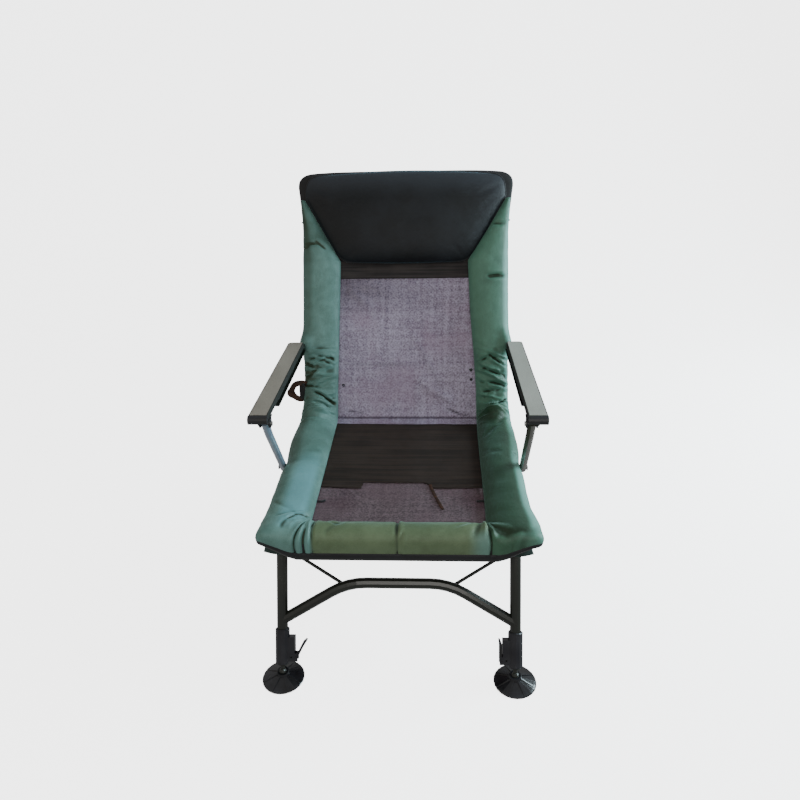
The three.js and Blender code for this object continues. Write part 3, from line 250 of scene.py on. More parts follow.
frame_paint = paint("frame_paint", rgb(24, 28, 21), rgb(33, 37, 29), 0.32, 0.5, 0.00012)
dress(
    ["seat_frame_tube", "back_frame_tube", "front_leg_frame", "rear_leg_frame"]
    + both("front_leg_brace", "front_leg_bracket", "rear_leg_bracket")
    + both("inner_leg_front", "inner_leg_rear"),
    frame_paint,
)

# Arm posts: a bent tube each, in a glossier paint than the frame's. The left one is painted much paler
# and bluer, a painted highlight for the light it reflects, and the right one darker, a painted shade.
# The channels under the armrests have the frame's own paint.
for side, base, worn in (
    ("left", rgb(140, 158, 178), rgb(172, 190, 206)), ("right", rgb(78, 80, 72), rgb(94, 96, 86)),
):
    dress([f"arm_post_{side}"], paint(f"post_{side}", base, worn, 0.16, 1.0, 0.00006), 50)
dress(both("armrest_channel"), frame_paint)

# Hinge plates, brackets and bolts: pressed and turned steel, zinc plated, satin.
zinc, flow, place = new_finish("zinc_plate", Metallic=1.0)
haze = speckle(flow, place, 34, 4)
scratches = speckle(flow, place, 900, 2, (0.08, 1, 1))
feed(
    zinc,
    Base_Color=haze.clipped(0.3, 0.7).mixed(rgb(150, 152, 152), rgb(188, 189, 186)),
    Roughness=haze * 0.25 + scratches * 0.12 + 0.16,
    Normal=bumped(flow, scratches, 0.00003, 0.4),
)
dress(
    both("hinge_plate_seat", "hinge_plate_back", "back_arm_bracket", "post_pivot_bolt", "armrest_bolt"),
    zinc,
)

# Leg clamps and levers: moulded nylon, blue-black and satin, with the fine grain of the mould.
# Mud feet: the same nylon, polished, and scuffed in places, on a ball under each leg.
def nylon(name, base, roughness, coat):
    finish, flow, place = new_finish(name, Coat_Roughness=0.18, Specular_IOR_Level=0.45)
    grain = speckle(flow, place, 1500, 1)
    handled = speckle(flow, place, 22, 5)
    scuffs = speckle(flow, place, 260, 4, (1, 0.2, 0.6)).clipped(0.6, 0.75) * handled.clipped(0.45, 0.7)
    feed(
        finish,
        Base_Color=(scuffs * 0.5).mixed(
            handled.clipped(0.3, 0.75).mixed(base, rgb(44, 45, 50)), rgb(86, 86, 88)
        ),
        Roughness=handled * 0.18 + roughness + scuffs * 0.3,
        Coat_Weight=coat - scuffs * coat,
        Normal=bumped(flow, grain, 0.00008, 0.5),
    )
    return finish


dress(both("leg_clamp_front", "leg_clamp_rear"), nylon("clamp_nylon", rgb(26, 26, 33), 0.34, 0.25))
dress(both("clamp_lever_front", "clamp_lever_rear"), nylon("lever_nylon", rgb(18, 18, 21), 0.2, 0.6))
dress(both("mud_foot_front", "mud_foot_rear"), nylon("foot_nylon", rgb(17, 17, 19), 0.13, 0.9))

# Armrests: a moulded board with a matt taupe top and a dark rim, screwed to the channel under
# it. The front cap is dark grey plastic; a plated bolt holds the post under it.
def board_finish(side, middle, dull, warm):
    """The board's top is an inlay, up to inlay_half millimetres to each side of its middle."""
    inlay_half = 20
    finish, flow, place = new_finish(f"board_{side}", Specular_IOR_Level=0.4)
    facing = flow.node("ShaderNodeTexCoord", {}, {}, "Normal")
    across_x = flow.node("ShaderNodeSeparateXYZ", {}, {0: place}, "X")
    rise = flow.node("ShaderNodeSeparateXYZ", {}, {0: facing}, "Z").clipped(0.75, 0.95)
    off = (across_x - middle) * 1000
    inlay = rise * (1 - (off * off / inlay_half**2).clipped(0.84, 0.98))
    grain = speckle(flow, place, 900, 3, (1, 0.12, 1))
    rubbed_and_painted_light = speckle(flow, place, 12, 4, (1, 0.5, 1))
    top = (grain * 0.5 + rubbed_and_painted_light * 0.5).clipped(0.3, 0.7).mixed(dull, warm)
    feed(
        finish,
        Base_Color=inlay.mixed(rgb(38, 41, 37), top),
        Roughness=0.62 - inlay * 0.14 + rubbed_and_painted_light * 0.12,
        Normal=bumped(flow, grain, 0.0001, 0.5),
    )
    return finish


# The right board is given paler colours than the left: painted light on the right board and painted shade
# on the left, for the light that falls from the right.
for side, middle, dull, warm in (
    ("left", -0.309, rgb(136, 130, 120), rgb(162, 157, 146)),
    ("right", 0.309, rgb(164, 166, 158), rgb(186, 188, 180)),
):
    dress([f"armrest_top_{side}"], board_finish(side, middle, dull, warm), 40)
dress(both("armrest_end_cap"), nylon("cap_nylon", rgb(40, 42, 41), 0.42, 0.1))

# Seat net and back net: a sling of open PVC-coated mesh, mauve with dark threads, laced between
# the tubes. It is drawn taut but dips a little, and pulls into faint creases at the corners.
def grid_piece(name, points, closed=False):
    """A mesh from rows of points, all rows of one length. Each row may close on itself."""
    rows, columns = points.shape[:2]
    across = columns if closed else columns - 1
    faces = []
    for i in range(rows - 1):
        for k in range(across):
            after = (k + 1) % columns
            faces.append((
                i * columns + k, i * columns + after,
                (i + 1) * columns + after, (i + 1) * columns + k,
            ))
    return mesh_piece(name, points.reshape(-1, 3), faces)


def note(piece, **values):
    """Keeps a number for each point of a piece, which its material reads by name."""
    for name, numbers in values.items():
        kept = piece.data.attributes.new(name, "FLOAT", "POINT")
        kept.data.foreach_set("value", np.asarray(numbers, dtype=np.float32).ravel())


def ripple(points, scale, seed):
    """Smooth noise from about -1 to 1 at rows of points in the flat, cells a metre by scale."""
    flat = points.reshape(-1, 2) * np.array(scale)
    found = [noise.noise(Vector((float(a), float(b), seed))) for a, b in flat]
    return np.array(found).reshape(points.shape[:-1])


def ridge(points, start, end, wide):
    """A soft line from start to end in the flat: 1 on it, fading to 0 over wide and at its ends."""
    a, b = np.array(start), np.array(end)
    along = ((points - a) @ (b - a)) / ((b - a) @ (b - a))
    near = a + np.clip(along, 0, 1)[..., None] * (b - a)
    off = np.linalg.norm(points - near, axis=-1)
    taper = np.clip(1 - np.abs(2 * np.clip(along, 0, 1) - 1) ** 3, 0, 1)
    return np.exp(-((off / wide) ** 2)) * taper


lean, hinge_y, hinge_z = math.radians(26), 0.152959, 0.377


def back_point(x, depth, high):
    """A place on the back: depth behind the hinge and height above it, square to its lean."""
    return np.stack(np.broadcast_arrays(
        x,
        hinge_y + depth * math.cos(lean) + high * math.sin(lean),
        hinge_z - depth * math.sin(lean) + high * math.cos(lean),
    ), axis=-1)


def mark(flow, name):
    """The number that note keeps at each point under that name."""
    return flow.node("ShaderNodeAttribute", {"attribute_name": name}, {}, "Fac")


def weave(flow, pitch_u, pitch_v):
    """The threads over the width and the length of a cloth, as waves from -1 to 1."""
    return [
        flow.node("ShaderNodeMath", {"operation": "SINE"}, {0: mark(flow, name) * (math.tau / pitch)})
        for name, pitch in (("cloth_u", pitch_u), ("cloth_v", pitch_v))
    ]


def net_finish(name, thread, faded, tinge, open_share):
    finish, flow, place = new_finish(name, Specular_IOR_Level=0.35)
    fold = mark(flow, "fold")
    warp, weft = weave(flow, 0.0044, 0.0044)
    threads = warp * warp + weft * weft
    slubs = (
        speckle(flow, place, 90, 3, (1, 0.05, 0.05)) * 0.5
        + speckle(flow, place, 90, 3, (0.05, 1, 1)) * 0.5
    )
    dust = speckle(flow, place, 7, 3)
    dots = 0.5 - warp * weft * 0.5
    hole = 2 * open_share
    grain = speckle(flow, place, 210, 1)
    shade = (slubs * 0.35 + grain * 0.4 + dots * 0.25).clipped(0.34, 0.66).mixed(thread, faded)
    tone = (dust.clipped(0.4, 0.62) * 0.4).mixed(shade, tinge)
    feed(
        finish,
        Base_Color=fold.mixed(tone, rgb(44, 28, 44)),
        Roughness=dust * 0.2 + 0.55,
        Alpha=threads.clipped(hole - 0.12, hole + 0.12) * 0.3 + 0.7,
        Normal=bumped(flow, threads, 0.0006, 0.6),
    )
    return finish


net = net_finish("mauve_net", rgb(108, 92, 115), rgb(196, 186, 210), rgb(155, 128, 152), 0.014)
# The seat net takes darker colours than the back net: painted shade for the shadow on the seat and the
# shaded floor seen through it.
seat_thread = net_finish("seat_net", rgb(59, 45, 51), rgb(127, 109, 117), rgb(100, 76, 85), 0.012)
seat_top = 0.325


def sling_dip(x, run, half, middle, reach, deep):
    """How far a net hangs: all of deep at its middle, and nothing at its sides and past its reach."""
    return deep * (1 - (x / half) ** 2) * np.clip(1 - ((run - middle) / reach) ** 2, 0, 1)


half, near, far = 0.262, -0.3545, 0.1855
seat_sling = (half, -0.09, 0.26, 0.006)
x, y = np.meshgrid(np.linspace(-half, half, 131), np.linspace(near, far, 136))
flat = np.stack([x, y], axis=-1)
z = seat_top + 0.0002 - sling_dip(x, y, *seat_sling) + 0.0012 * ripple(flat, (14, 22), 3.1)
for start, end, high in (
    ((-0.19, -0.32), (-0.06, -0.22), 0.0016),
    ((0.19, -0.31), (0.08, -0.24), 0.0016),
    ((-0.1, -0.33), (0.12, -0.318), 0.0012),
):
    z += high * ridge(flat, start, end, 0.012)
seat_net = grid_piece("seat_net", np.stack([x, y, z], axis=-1))
note(seat_net, cloth_u=x, cloth_v=y)
seat_net.data.materials.append(seat_thread)
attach(seat_net, "seat")
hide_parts("seat_mesh")

half, low, high = 0.2555, -0.031, 0.6595
back_sling = (half, 0.24, 0.28, 0.009)
x, t = np.meshgrid(np.linspace(-half, half, 129), np.linspace(low, high, 174))
flat = np.stack([x, t], axis=-1)
depth = 0.0518 + sling_dip(x, t, *back_sling) - 0.0014 * ripple(flat, (11, 16), 8.7)
# Painted shade: the back net is darkened along some of its creases and towards its upper left.
shade_painted = 0 * depth
for start, end, size, wide, dark in (  # a crease's ends, its height, half width and painted shade
    ((0.045, 0.07), (0.16, 0.012), 0.006, 0.011, 0),
    ((0.02, 0.1), (0.13, 0.03), 0.0035, 0.016, 0),
    ((-0.17, 0.36), (-0.1, 0.3), 0.004, 0.014, 0),
    ((-0.18, 0.375), (-0.03, 0.35), 0.0035, 0.012, 0),
    ((-0.19, 0.136), (0.05, 0.131), 0.0026, 0.006, 0.25),
    ((0.05, 0.335), (0.18, 0.36), 0.003, 0.014, 0),
    ((-0.06, 0.05), (-0.17, 0.015), 0.003, 0.014, 0),
    ((0.116, 0.004), (0.168, -0.019), -0.003, 0.0028, 1.0),
    ((0.162, -0.015), (0.205, -0.031), -0.002, 0.0028, 1.0),
    ((0.02, 0.22), (0.12, 0.04), 0.002, 0.006, 0.15),
    ((-0.18, -0.004), (-0.12, -0.012), -0.002, 0.002, 0.8),
):
    line = ridge(flat, start, end, wide)
    depth -= size * line
    shade_painted = np.maximum(shade_painted, dark * line)
in_shade = np.clip(0.25 - 1.9 * x, 0, 0.5) * np.clip((t - 0.26) / 0.08, 0, 1)
shade_painted = np.maximum(shade_painted, in_shade)
back_net = grid_piece("back_net", back_point(x, depth, t))
note(back_net, cloth_u=x, cloth_v=t, fold=shade_painted)
back_net.data.materials.append(net)
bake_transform(back_net)
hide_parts("back_mesh")

# Seat band: close-woven brown webbing sewn over the net where it carries most. Its ribs run from
# side to side, its front edge is stepped, and it lies flat.
def band_finish(name, dark, light):
    finish, flow, place = new_finish(name, Specular_IOR_Level=0.3)
    thread, rib = weave(flow, 0.0016, 0.0024)
    streak = speckle(flow, place, 150, 3, (0.02, 1, 1))
    cloud = speckle(flow, place, 14, 3)
    feed(
        finish,
        Base_Color=(streak * 0.75 + cloud * 0.25).clipped(0.36, 0.64).mixed(dark, light),
        Roughness=streak * 0.25 + 0.55,
        Normal=bumped(flow, rib * 0.6 + thread * 0.4, 0.0003, 0.7),
    )
    return finish


def thicken(piece, offset):
    thick = piece.modifiers.new("thick", "SOLIDIFY")
    thick.thickness, thick.offset = 0.0012, offset


band_half, band_rear, step_x, step_front, front = 0.25, 0.156, -0.097, -0.1655, -0.139
columns = np.linspace(-band_half, band_half, 126)
front_edge = np.where(columns < step_x, step_front, front)
front_edge = front_edge - 0.0255 * np.clip((columns - 0.05) / 0.03, 0, 1) ** 2
run = np.linspace(0, 1, 84)[:, None]
y = front_edge * (1 - run) + band_rear * run
x = np.broadcast_to(columns, y.shape)
flat = np.stack([x, y], axis=-1)
z = seat_top + 0.0024 - sling_dip(x, y, *seat_sling)
z += 0.0006 * ripple(flat, (9, 30), 5.2) + 0.0012 * ripple(flat, (14, 22), 3.1)
seat_band = grid_piece("seat_band", np.stack([x, y, z], axis=-1))
note(seat_band, cloth_u=x, cloth_v=y)
seat_band.data.materials.append(band_finish("seat_webbing", rgb(39, 33, 29), rgb(60, 50, 44)))
thicken(seat_band, 1.0)
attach(seat_band, "seat")
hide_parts("seat_support_band")

# Net hem: the back net's foot, folded over and sewn down on the seat net behind the seat band. Its
# profile runs backwards and up from the band.
fold_line = np.array([  # depth and height of the profile's points
    (0.1545, 0.3263), (0.1552, 0.3279), (0.160, 0.3284), (0.168, 0.3286), (0.176, 0.3288),
    (0.182, 0.3296), (0.1853, 0.3315), (0.1870, 0.3345), (0.1886, 0.3378),
])
x = np.broadcast_to(np.linspace(-0.252, 0.252, 127), (len(fold_line), 127))
flat = np.stack([x, np.broadcast_to(fold_line[:, :1], x.shape)], axis=-1)
lift = 0.0009 * ripple(flat, (26, 20), 4.7) * np.array([0, 0.5, 1, 1, 1, 0.6, 0, 0, 0])[:, None]
hem_points = np.stack([x, fold_line[:, :1] + 0 * x, fold_line[:, 1:] + lift], axis=-1)
net_hem = grid_piece("net_hem", hem_points)
# The hem is darkened at its doubled-over rows: painted shade where the cloth tucks under.
note(net_hem, cloth_u=x, cloth_v=flat[..., 1], fold=np.broadcast_to(
    np.array([0.9, 0.5, 0, 0, 0, 0.1, 0.9, 0.5, 0])[:, None], x.shape
))
net_hem.data.materials.append(net)
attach(net_hem, "seat")

# Top band: the same webbing across the back net, along the foot of the pillow.
x, t = np.meshgrid(np.linspace(-band_half, band_half, 101), np.linspace(0.384, 0.462, 25))
depth = 0.0496 + sling_dip(x, t, *back_sling)
top_band = grid_piece("top_band", back_point(x, depth, t))
note(top_band, cloth_u=x, cloth_v=t)
top_band.data.materials.append(band_finish("top_webbing", rgb(37, 34, 35), rgb(66, 61, 60)))
thicken(top_band, 0.0)
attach(top_band, "back")
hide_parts("back_top_band")

# Padded rim, left and right: one wadded sleeve of satin green nylon a side, from the seat's front
# corner over the rail and the hinge to a point beside the headrest. It is cut straight, so it
# crumples where the chair bends, and its hanging lip is bound in black tape with black lining.
def satin_finish(name, base, light, shade, pale):
    """Satin clouded from base to light, with painted light in pale and painted shade in shade where marked.
    """
    finish, flow, place = new_finish(
        name, Specular_IOR_Level=0.42, Sheen_Weight=0.35, Sheen_Roughness=0.42,
        Sheen_Tint=(0.55, 0.95, 0.85, 1),
    )
    warp, weft = weave(flow, 0.0013, 0.0013)
    cloud = speckle(flow, place, 11, 4)
    slubs = speckle(flow, place, 420, 2)
    crush = speckle(flow, place, 46, 5)
    tone = (cloud * 0.55 + slubs * 0.2 + crush * 0.25).clipped(0.36, 0.66)
    palest = (*(1.15 * level for level in pale[:3]), 1)
    plain = mark(flow, "faded").mixed(tone.mixed(base, light), tone.mixed(pale, palest))
    pressed = bumped(flow, crush, 0.0035, 0.35)
    feed(
        finish,
        Base_Color=mark(flow, "fold").clipped(0.1, 0.9).mixed(plain, shade),
        Roughness=cloud * 0.14 + slubs * 0.1 + 0.36,
        Normal=bumped(flow, warp * weft * 0.5 + slubs * 0.5, 0.00025, 0.5, pressed),
    )
    return finish


def plain_cloth(name, dark, light, pitch, roughness):
    finish, flow, place = new_finish(name, Specular_IOR_Level=0.4, Sheen_Weight=0.15)
    thread = speckle(flow, place, 1 / pitch, 1)
    cloud = speckle(flow, place, 16, 4)
    feed(
        finish,
        Base_Color=(cloud * 0.6 + thread * 0.4).clipped(0.35, 0.68).mixed(dark, light),
        Roughness=cloud * 0.2 + roughness,
        Normal=bumped(flow, thread, pitch * 0.25, 0.6),
    )
    return finish


binding = plain_cloth("black_binding", rgb(16, 17, 20), rgb(34, 36, 41), 0.0012, 0.48)
lining = plain_cloth("black_lining", rgb(20, 20, 22), rgb(36, 36, 38), 0.0016, 0.6)

rim_shape = [  # share across, share of the crown, share of the lip, millimetres outwards
    (0.0, 0.02, 0, 0), (-0.004, 0.18, 0, 0), (0.02, 0.36, 0, 0), (0.09, 0.6, 0, 0),
    (0.21, 0.82, 0, 0), (0.35, 0.95, 0, 0), (0.5, 1.0, 0, 0), (0.65, 0.96, 0, 0),
    (0.79, 0.84, 0, 0), (0.9, 0.65, 0, 0), (0.97, 0.4, 0, 0), (1.002, 0.1, 0, 0), (1.005, 0, 0.28, 0),
    (0.998, 0, 0.62, 0), (0.99, 0, 1.0, 0),
]
rim_hem = [  # the same, then the share of the tape that hangs below the cloth
    (0.99, 0, 1.0, 1.2, 0.02), (0.988, 0, 1.0, 1.4, 0.5), (0.984, 0, 1.0, 1.1, 0.96),
    (0.976, 0, 1.0, 0, 1.0), (0.966, 0, 1.0, -0.6, 0.9),
]
rim_under = [(0.962, 0, 0.6, 0, 0.1), (0.955, 0.04, 0.0, 0, 0)]


def smooth_rows(rows, count):
    """A smooth curve through rows of numbers, as that many evenly spaced rows."""
    rows = np.array(rows, dtype=float)
    padded = np.vstack([2 * rows[0] - rows[1], rows, 2 * rows[-1] - rows[-2]])
    fine = []
    for a, b, c, d in zip(padded, padded[1:], padded[2:], padded[3:]):
        for t in np.linspace(0, 1, 12, endpoint=False):
            fine.append(0.5 * (
                2 * b + (c - a) * t + (2 * a - 5 * b + 4 * c - d) * t**2
                + (3 * b - a - 3 * c + d) * t**3
            ))
    fine = np.array(fine + [rows[-1]])
    steps = np.linalg.norm(np.diff(fine[:, :2] * (1, 0.33), axis=0), axis=1)
    steps += np.abs(np.diff(fine[:, 2])) * 0.26
    run = np.concatenate([[0], np.cumsum(steps)])
    even = np.linspace(0, run[-1], count)
    return np.stack([np.interp(even, run, fine[:, i]) for i in range(rows.shape[1])], axis=1)


top_count = 60


def rim_rows(tube_at, tube_half):
    """The rim's section: its top and lip, its bound hem, and its lining round the frame tube."""
    over_tube = [
        (tube_at + tube_half, 0.2), (tube_at + tube_half * 0.6, 0.29), (tube_at, 0.33),
        (tube_at - tube_half * 0.7, 0.27), (tube_at - tube_half * 1.3, 0.05), (tube_at * 0.5, 0), (0.08, 0),
    ]
    cloth = np.pad(smooth_rows(rim_shape, top_count), ((0, 0), (0, 1)))
    return np.vstack([cloth, rim_hem, rim_under, np.pad(over_tube, ((0, 0), (0, 3)))]).T


seat_run, bend_run, back_run, plane_off = 0.4795, 0.05809, 0.612, 0.052


def rim_line(s, rise):
    """Where the rim's run s and rise above the net come, as depth and height in the room."""
    s, rise = np.broadcast_arrays(s, rise)
    turn = np.clip((s - seat_run) / plane_off, 0, math.pi / 2 - lean) - math.pi / 2
    before = np.minimum(s - seat_run, 0)
    after = np.maximum(s - seat_run - bend_run, 0)
    reach = plane_off - rise
    y = hinge_y + reach * np.cos(turn) + before + after * math.sin(lean)
    z = hinge_z + reach * np.sin(turn) + after * math.cos(lean)
    return y, z


def bridged_line(s, rise, share):
    """The same, with the bend at the hinge filled out where the sleeve passes over the plates."""
    y, z = rim_line(s, rise)
    offsets = np.linspace(-0.15, 0.15, 31)
    weights = np.exp(-0.5 * (offsets / 0.06) ** 2)
    weights /= weights.sum()
    full_y, full_z = np.zeros_like(y), np.zeros_like(z)
    for offset, weight in zip(offsets, weights):
        near_y, near_z = rim_line(s + offset, rise)
        full_y += weight * near_y
        full_z += weight * near_z
    return y + (full_y - y) * share, z + (full_z - z) * share


def eased(value, low, high):
    """0 below low, 1 above high, and an easy climb between them."""
    t = np.clip((value - low) / (high - low), 0, 1)
    return t * t * (3 - 2 * t)


def surface_normals(points, upward):
    """The cloth's normals at rows of points, on the side that looks upward."""
    along, over = np.gradient(points, axis=0), np.gradient(points, axis=1)
    normals = np.cross(along, over)
    normals /= np.linalg.norm(normals, axis=-1, keepdims=True) + 1e-12
    return normals * np.sign((normals * upward).sum(axis=-1, keepdims=True).mean())


def crease(flat, start, end, deep, wide):
    """A crease: a groove with a roll of cloth along each side of it."""
    return deep * (
        0.75 * ridge(flat, start, end, wide * 2.4) - 1.6 * ridge(flat, start, end, wide)
    )


def close_ends(piece, looped=False):
    """Fills the two ends of a piece or, where it is looped, joins its last row to its first."""
    ends = bmesh.new()
    ends.from_mesh(piece.data)
    if looped:
        bmesh.ops.remove_doubles(ends, verts=ends.verts, dist=0.0001)
    else:
        bmesh.ops.holes_fill(ends, edges=ends.edges, sides=200)
    bmesh.ops.recalc_face_normals(ends, faces=ends.faces)
    ends.to_mesh(piece.data)
    ends.free()


def sew_rim(name, points, top_normals, swell, finishes, faded, shaded):
    """Raises the sleeve's top by swell, and gives it its cloth, binding and lining."""
    raised = points.copy()
    raised[:, :top_count] += top_normals[:, :top_count] * swell[:, :top_count, None]
    piece = grid_piece(name, raised, closed=True)
    run = np.cumsum(
        np.r_[np.zeros((1, points.shape[1])), np.linalg.norm(np.diff(points, axis=0), axis=2)], axis=0
    )
    girth = np.cumsum(
        np.c_[np.zeros(len(points)), np.linalg.norm(np.diff(points, axis=1), axis=2)], axis=1
    )
    middle = np.broadcast_to(run[:, 20:21], run.shape)
    # Painted shade: grooves are darkened by their depth, on top of the shade that the tones paint.
    shade_painted = np.clip(-swell * 1000 / 4.0 - 0.1, 0, 1)
    note(piece, cloth_u=middle, cloth_v=girth, fold=np.clip(shade_painted + shaded, 0, 1), faded=faded)
    for finish in finishes:
        piece.data.materials.append(finish)
    columns = points.shape[1]
    kinds = [
        0 if k < top_count - 1 else 1 if k < top_count + len(rim_hem) - 1 else 2
        for _ in range(len(points) - 1) for k in range(columns)
    ]
    piece.data.polygons.foreach_set("material_index", kinds)
    close_ends(piece)
    return piece


corner_x, corner_y = 0.198, -0.326541
crown, lip_long, base_gap, front_reach, edge_tape = 0.031, 0.0205, 0.003, 0.068, 0.0195
left_creases = [  # start and end along and across the sleeve, depth, half width
    ((0.606, 0.095), (0.597, 0.046), 0.003, 0.005),
    ((0.593, 0.076), (0.548, 0), 0.006, 0.005),
    ((0.552, 0.074), (0.539, 0.02), 0.005, 0.0045),
    ((0.472, 0.098), (0.458, 0.042), 0.0026, 0.006),
    ((0.458, 0.042), (0.467, 0.006), 0.0016, 0.005),
    ((0.669, 0.096), (0.665, 0.071), 0.0055, 0.006),
    ((0.624, 0.092), (0.656, 0.054), 0.003, 0.006),
    ((0.656, 0.054), (0.66, 0.033), 0.002, 0.005),
    ((0.714, 0.072), (0.714, 0.001), 0.0016, 0.004),
    ((0.696, 0.068), (0.683, 0.006), 0.0024, 0.004),
    ((0.678, 0.061), (0.683, 0.033), 0.0026, 0.004),
    ((0.678, 0.04), (0.665, 0.008), 0.002, 0.004),
    ((0.696, 0.025), (0.665, 0.001), 0.0018, 0.004),
    ((0.683, 0.087), (0.687, 0.064), 0.002, 0.004),
    ((0.602, 0.014), (0.629, 0), 0.0015, 0.006),
    ((0.579, 0.04), (0.566, 0.003), 0.002, 0.006),
    ((0.534, 0.088), (0.498, 0.049), 0.0016, 0.006),
    ((0.067, 0.1), (0.013, 0.035), 0.0014, 0.008),
    ((-0.056, 0.062), (-0.012, 0.016), -0.002, 0.006),
    ((-0.074, -0.01), (-0.074, 0.095), 0.007, 0.004),
    ((0.024, -0.006), (0.011, 0.016), 0.005, 0.004),
    ((0.014, 0.006), (0.010, 0.037), 0.006, 0.0042),
    ((0.011, 0.029), (-0.013, 0.050), 0.005, 0.005),
    ((-0.008, 0.046), (-0.044, 0.073), 0.0028, 0.0065),
    ((0.002, 0.080), (0.013, 0.046), 0.0022, 0.006),
    ((0.011, 0.052), (0.030, 0.013), 0.002, 0.006),
    ((1.019, 0.082), (1.019, 0.034), 0.0042, 0.006),
    ((1.004, 0.1), (1.012, 0.06), 0.004, 0.005),
    ((1.03, 0.04), (1.0, 0.02), 0.003, 0.006),
    ((0.341, 0.057), (0.364, 0.015), 0.0012, 0.01),
    ((0.283, 0.057), (0.292, 0.012), 0.0009, 0.012),
    ((0.718, 0.069), (0.723, 0.019), 0.001, 0.005),
]
right_creases = [
    ((0.701, 0.035), (0.66, 0.086), 0.004, 0.005),
    ((0.669, 0.003), (0.696, 0.052), 0.0026, 0.005),
    ((0.656, 0.02), (0.633, 0.08), 0.004, 0.005),
    ((0.678, 0.037), (0.696, 0.087), 0.0016, 0.005),
    ((0.615, 0.008), (0.615, 0.06), 0.0018, 0.006),
    ((0.615, 0.026), (0.602, 0.094), 0.003, 0.005),
    ((0.588, 0.053), (0.606, 0.095), 0.0024, 0.005),
    ((0.588, 0.014), (0.588, 0.05), 0.0022, 0.005),
    ((0.57, 0.017), (0.579, 0.036), 0.0016, 0.005),
    ((0.521, 0.031), (0.566, 0.095), 0.006, 0.0045),
    ((0.539, 0.024), (0.503, 0.035), 0.002, 0.005),
    ((0.368, 0.015), (0.422, 0.05), 0.0022, 0.008),
    ((0.422, 0.05), (0.512, 0.096), 0.0022, 0.008),
    ((0.651, 0.011), (0.66, 0.037), 0.0018, 0.005),
    ((0.656, 0.064), (0.62, 0.095), 0.002, 0.006),
    ((0.633, 0.08), (0.62, 0.095), 0.0018, 0.005),
    ((0.283, 0.021), (0.283, 0.061), 0.0009, 0.012),
    ((-0.089, 0.044), (-0.089, 0.067), 0.0045, 0.0045),
    ((-0.089, 0.067), (-0.086, 0.068), 0.004, 0.0045),
    ((-0.086, 0.035), (-0.08, 0.067), -0.004, 0.006),
    ((-0.08, 0.067), (-0.055, 0.085), -0.0036, 0.007),
    ((-0.055, 0.085), (-0.035, 0.09), -0.002, 0.008),
    ((-0.07, 0.03), (-0.05, 0.07), 0.003, 0.009),
    ((-0.077, 0.02), (-0.068, 0.043), 0.002, 0.005),
    ((1.078, -0.01), (1.070, 0.052), 0.004, 0.007),
    ((1.064, 0.036), (1.072, 0.004), 0.002, 0.007),
    ((0.921, 0.108), (0.921, 0.046), 0.0045, 0.007),
    ((0.929, 0.09), (0.913, 0.05), 0.0022, 0.007),
    ((-0.04, 0.103), (-0.006, 0.115), 0.001, 0.009),
    ((0.287, 0.082), (0.287, 0.101), 0.0016, 0.008),
]
outer_edge = [  # along the sleeve, how far out its edge stands
    (0, 0.312), (0.02, 0.3095), (0.05, 0.307), (0.12, 0.306), (0.21, 0.306), (0.235, 0.3025),
    (0.27, 0.3025), (0.3, 0.3065), (0.36, 0.310), (0.42, 0.3085), (0.47, 0.304), (0.52, 0.3005),
    (0.6, 0.2985), (0.68, 0.298), (0.705, 0.299), (0.77, 0.300), (0.8, 0.300), (0.9, 0.2995),
    (1.05, 0.300), (1.15, 0.307),
]
right_opening = [  # along the sleeve, how much wider the right half of the opening is
    (0, 0), (0.06, 0.003), (0.2, 0.0045), (0.38, 0.0065), (0.5, 0.0095), (0.6, 0.0085), (0.72, 0.003),
    (0.82, -0.003), (0.98, -0.006), (1.06, -0.001),
]
left_flank_shade = [  # along the sleeve, how much painted shade darkens the left one's outer side
    (-0.03, 0.15), (0.05, 0.45), (0.15, 0.5), (0.25, 0.56), (0.4, 0.5), (0.6, 0.3), (0.75, 0.45),
]
left_painted_shade = [  # along the sleeve, how much painted shade darkens it over its whole width
    (0.24, 0.05), (0.33, 0.42), (0.38, 0.42), (0.46, 0.27), (0.57, 0.28), (0.63, 0.3), (0.68, 0.0),
    (0.95, 0.05), (1.03, 0.45),
]
right_painted_light = [(0.5, 0), (0.58, 0.14), (0.9, 0.14)]  # along the sleeve, how much painted light the right one has


def along(run, rows):
    """Values that a list gives along the sleeve, one for each of its sections."""
    return np.interp(run, *zip(*rows))[:, None]


def left_tones(run, u):
    """How much painted light and painted shade the left sleeve has: paler inside on the seat, darker
    outside.
    """
    lit = eased(run, -0.09, 0.04) * (1 - eased(run, 0.16, 0.32))
    faded = 0.9 * lit[:, None] * eased(u, 0.04, 0.2) * (1 - eased(u, 0.5, 0.74))
    flank_shade = along(run, left_flank_shade) * eased(u, 0.58, 0.82)
    return faded, 1 - (1 - flank_shade) * (1 - along(run, left_painted_shade))


def right_tones(run, u):
    """The same for the right sleeve: painted shade on the seat, with a painted highlight band down its
    outer side.
    """
    on_seat = 1 - eased(run, 0.34, 0.5)
    on_band = on_seat * eased(run, -0.062, 0.012) * (0.72 - 0.5 * eased(run, 0.16, 0.34))
    faded = on_band[:, None] * eased(u, 0.7, 0.88)
    faded = faded + 0.72 * (1 - on_seat)[:, None] * eased(u, 0.76, 0.96)
    shaded = 0.64 * (1 - eased(run, 0.46, 0.55))[:, None] * (1 - 0.7 * eased(u, 0.7, 0.84))
    return np.maximum(faded, along(run, right_painted_light)), shaded
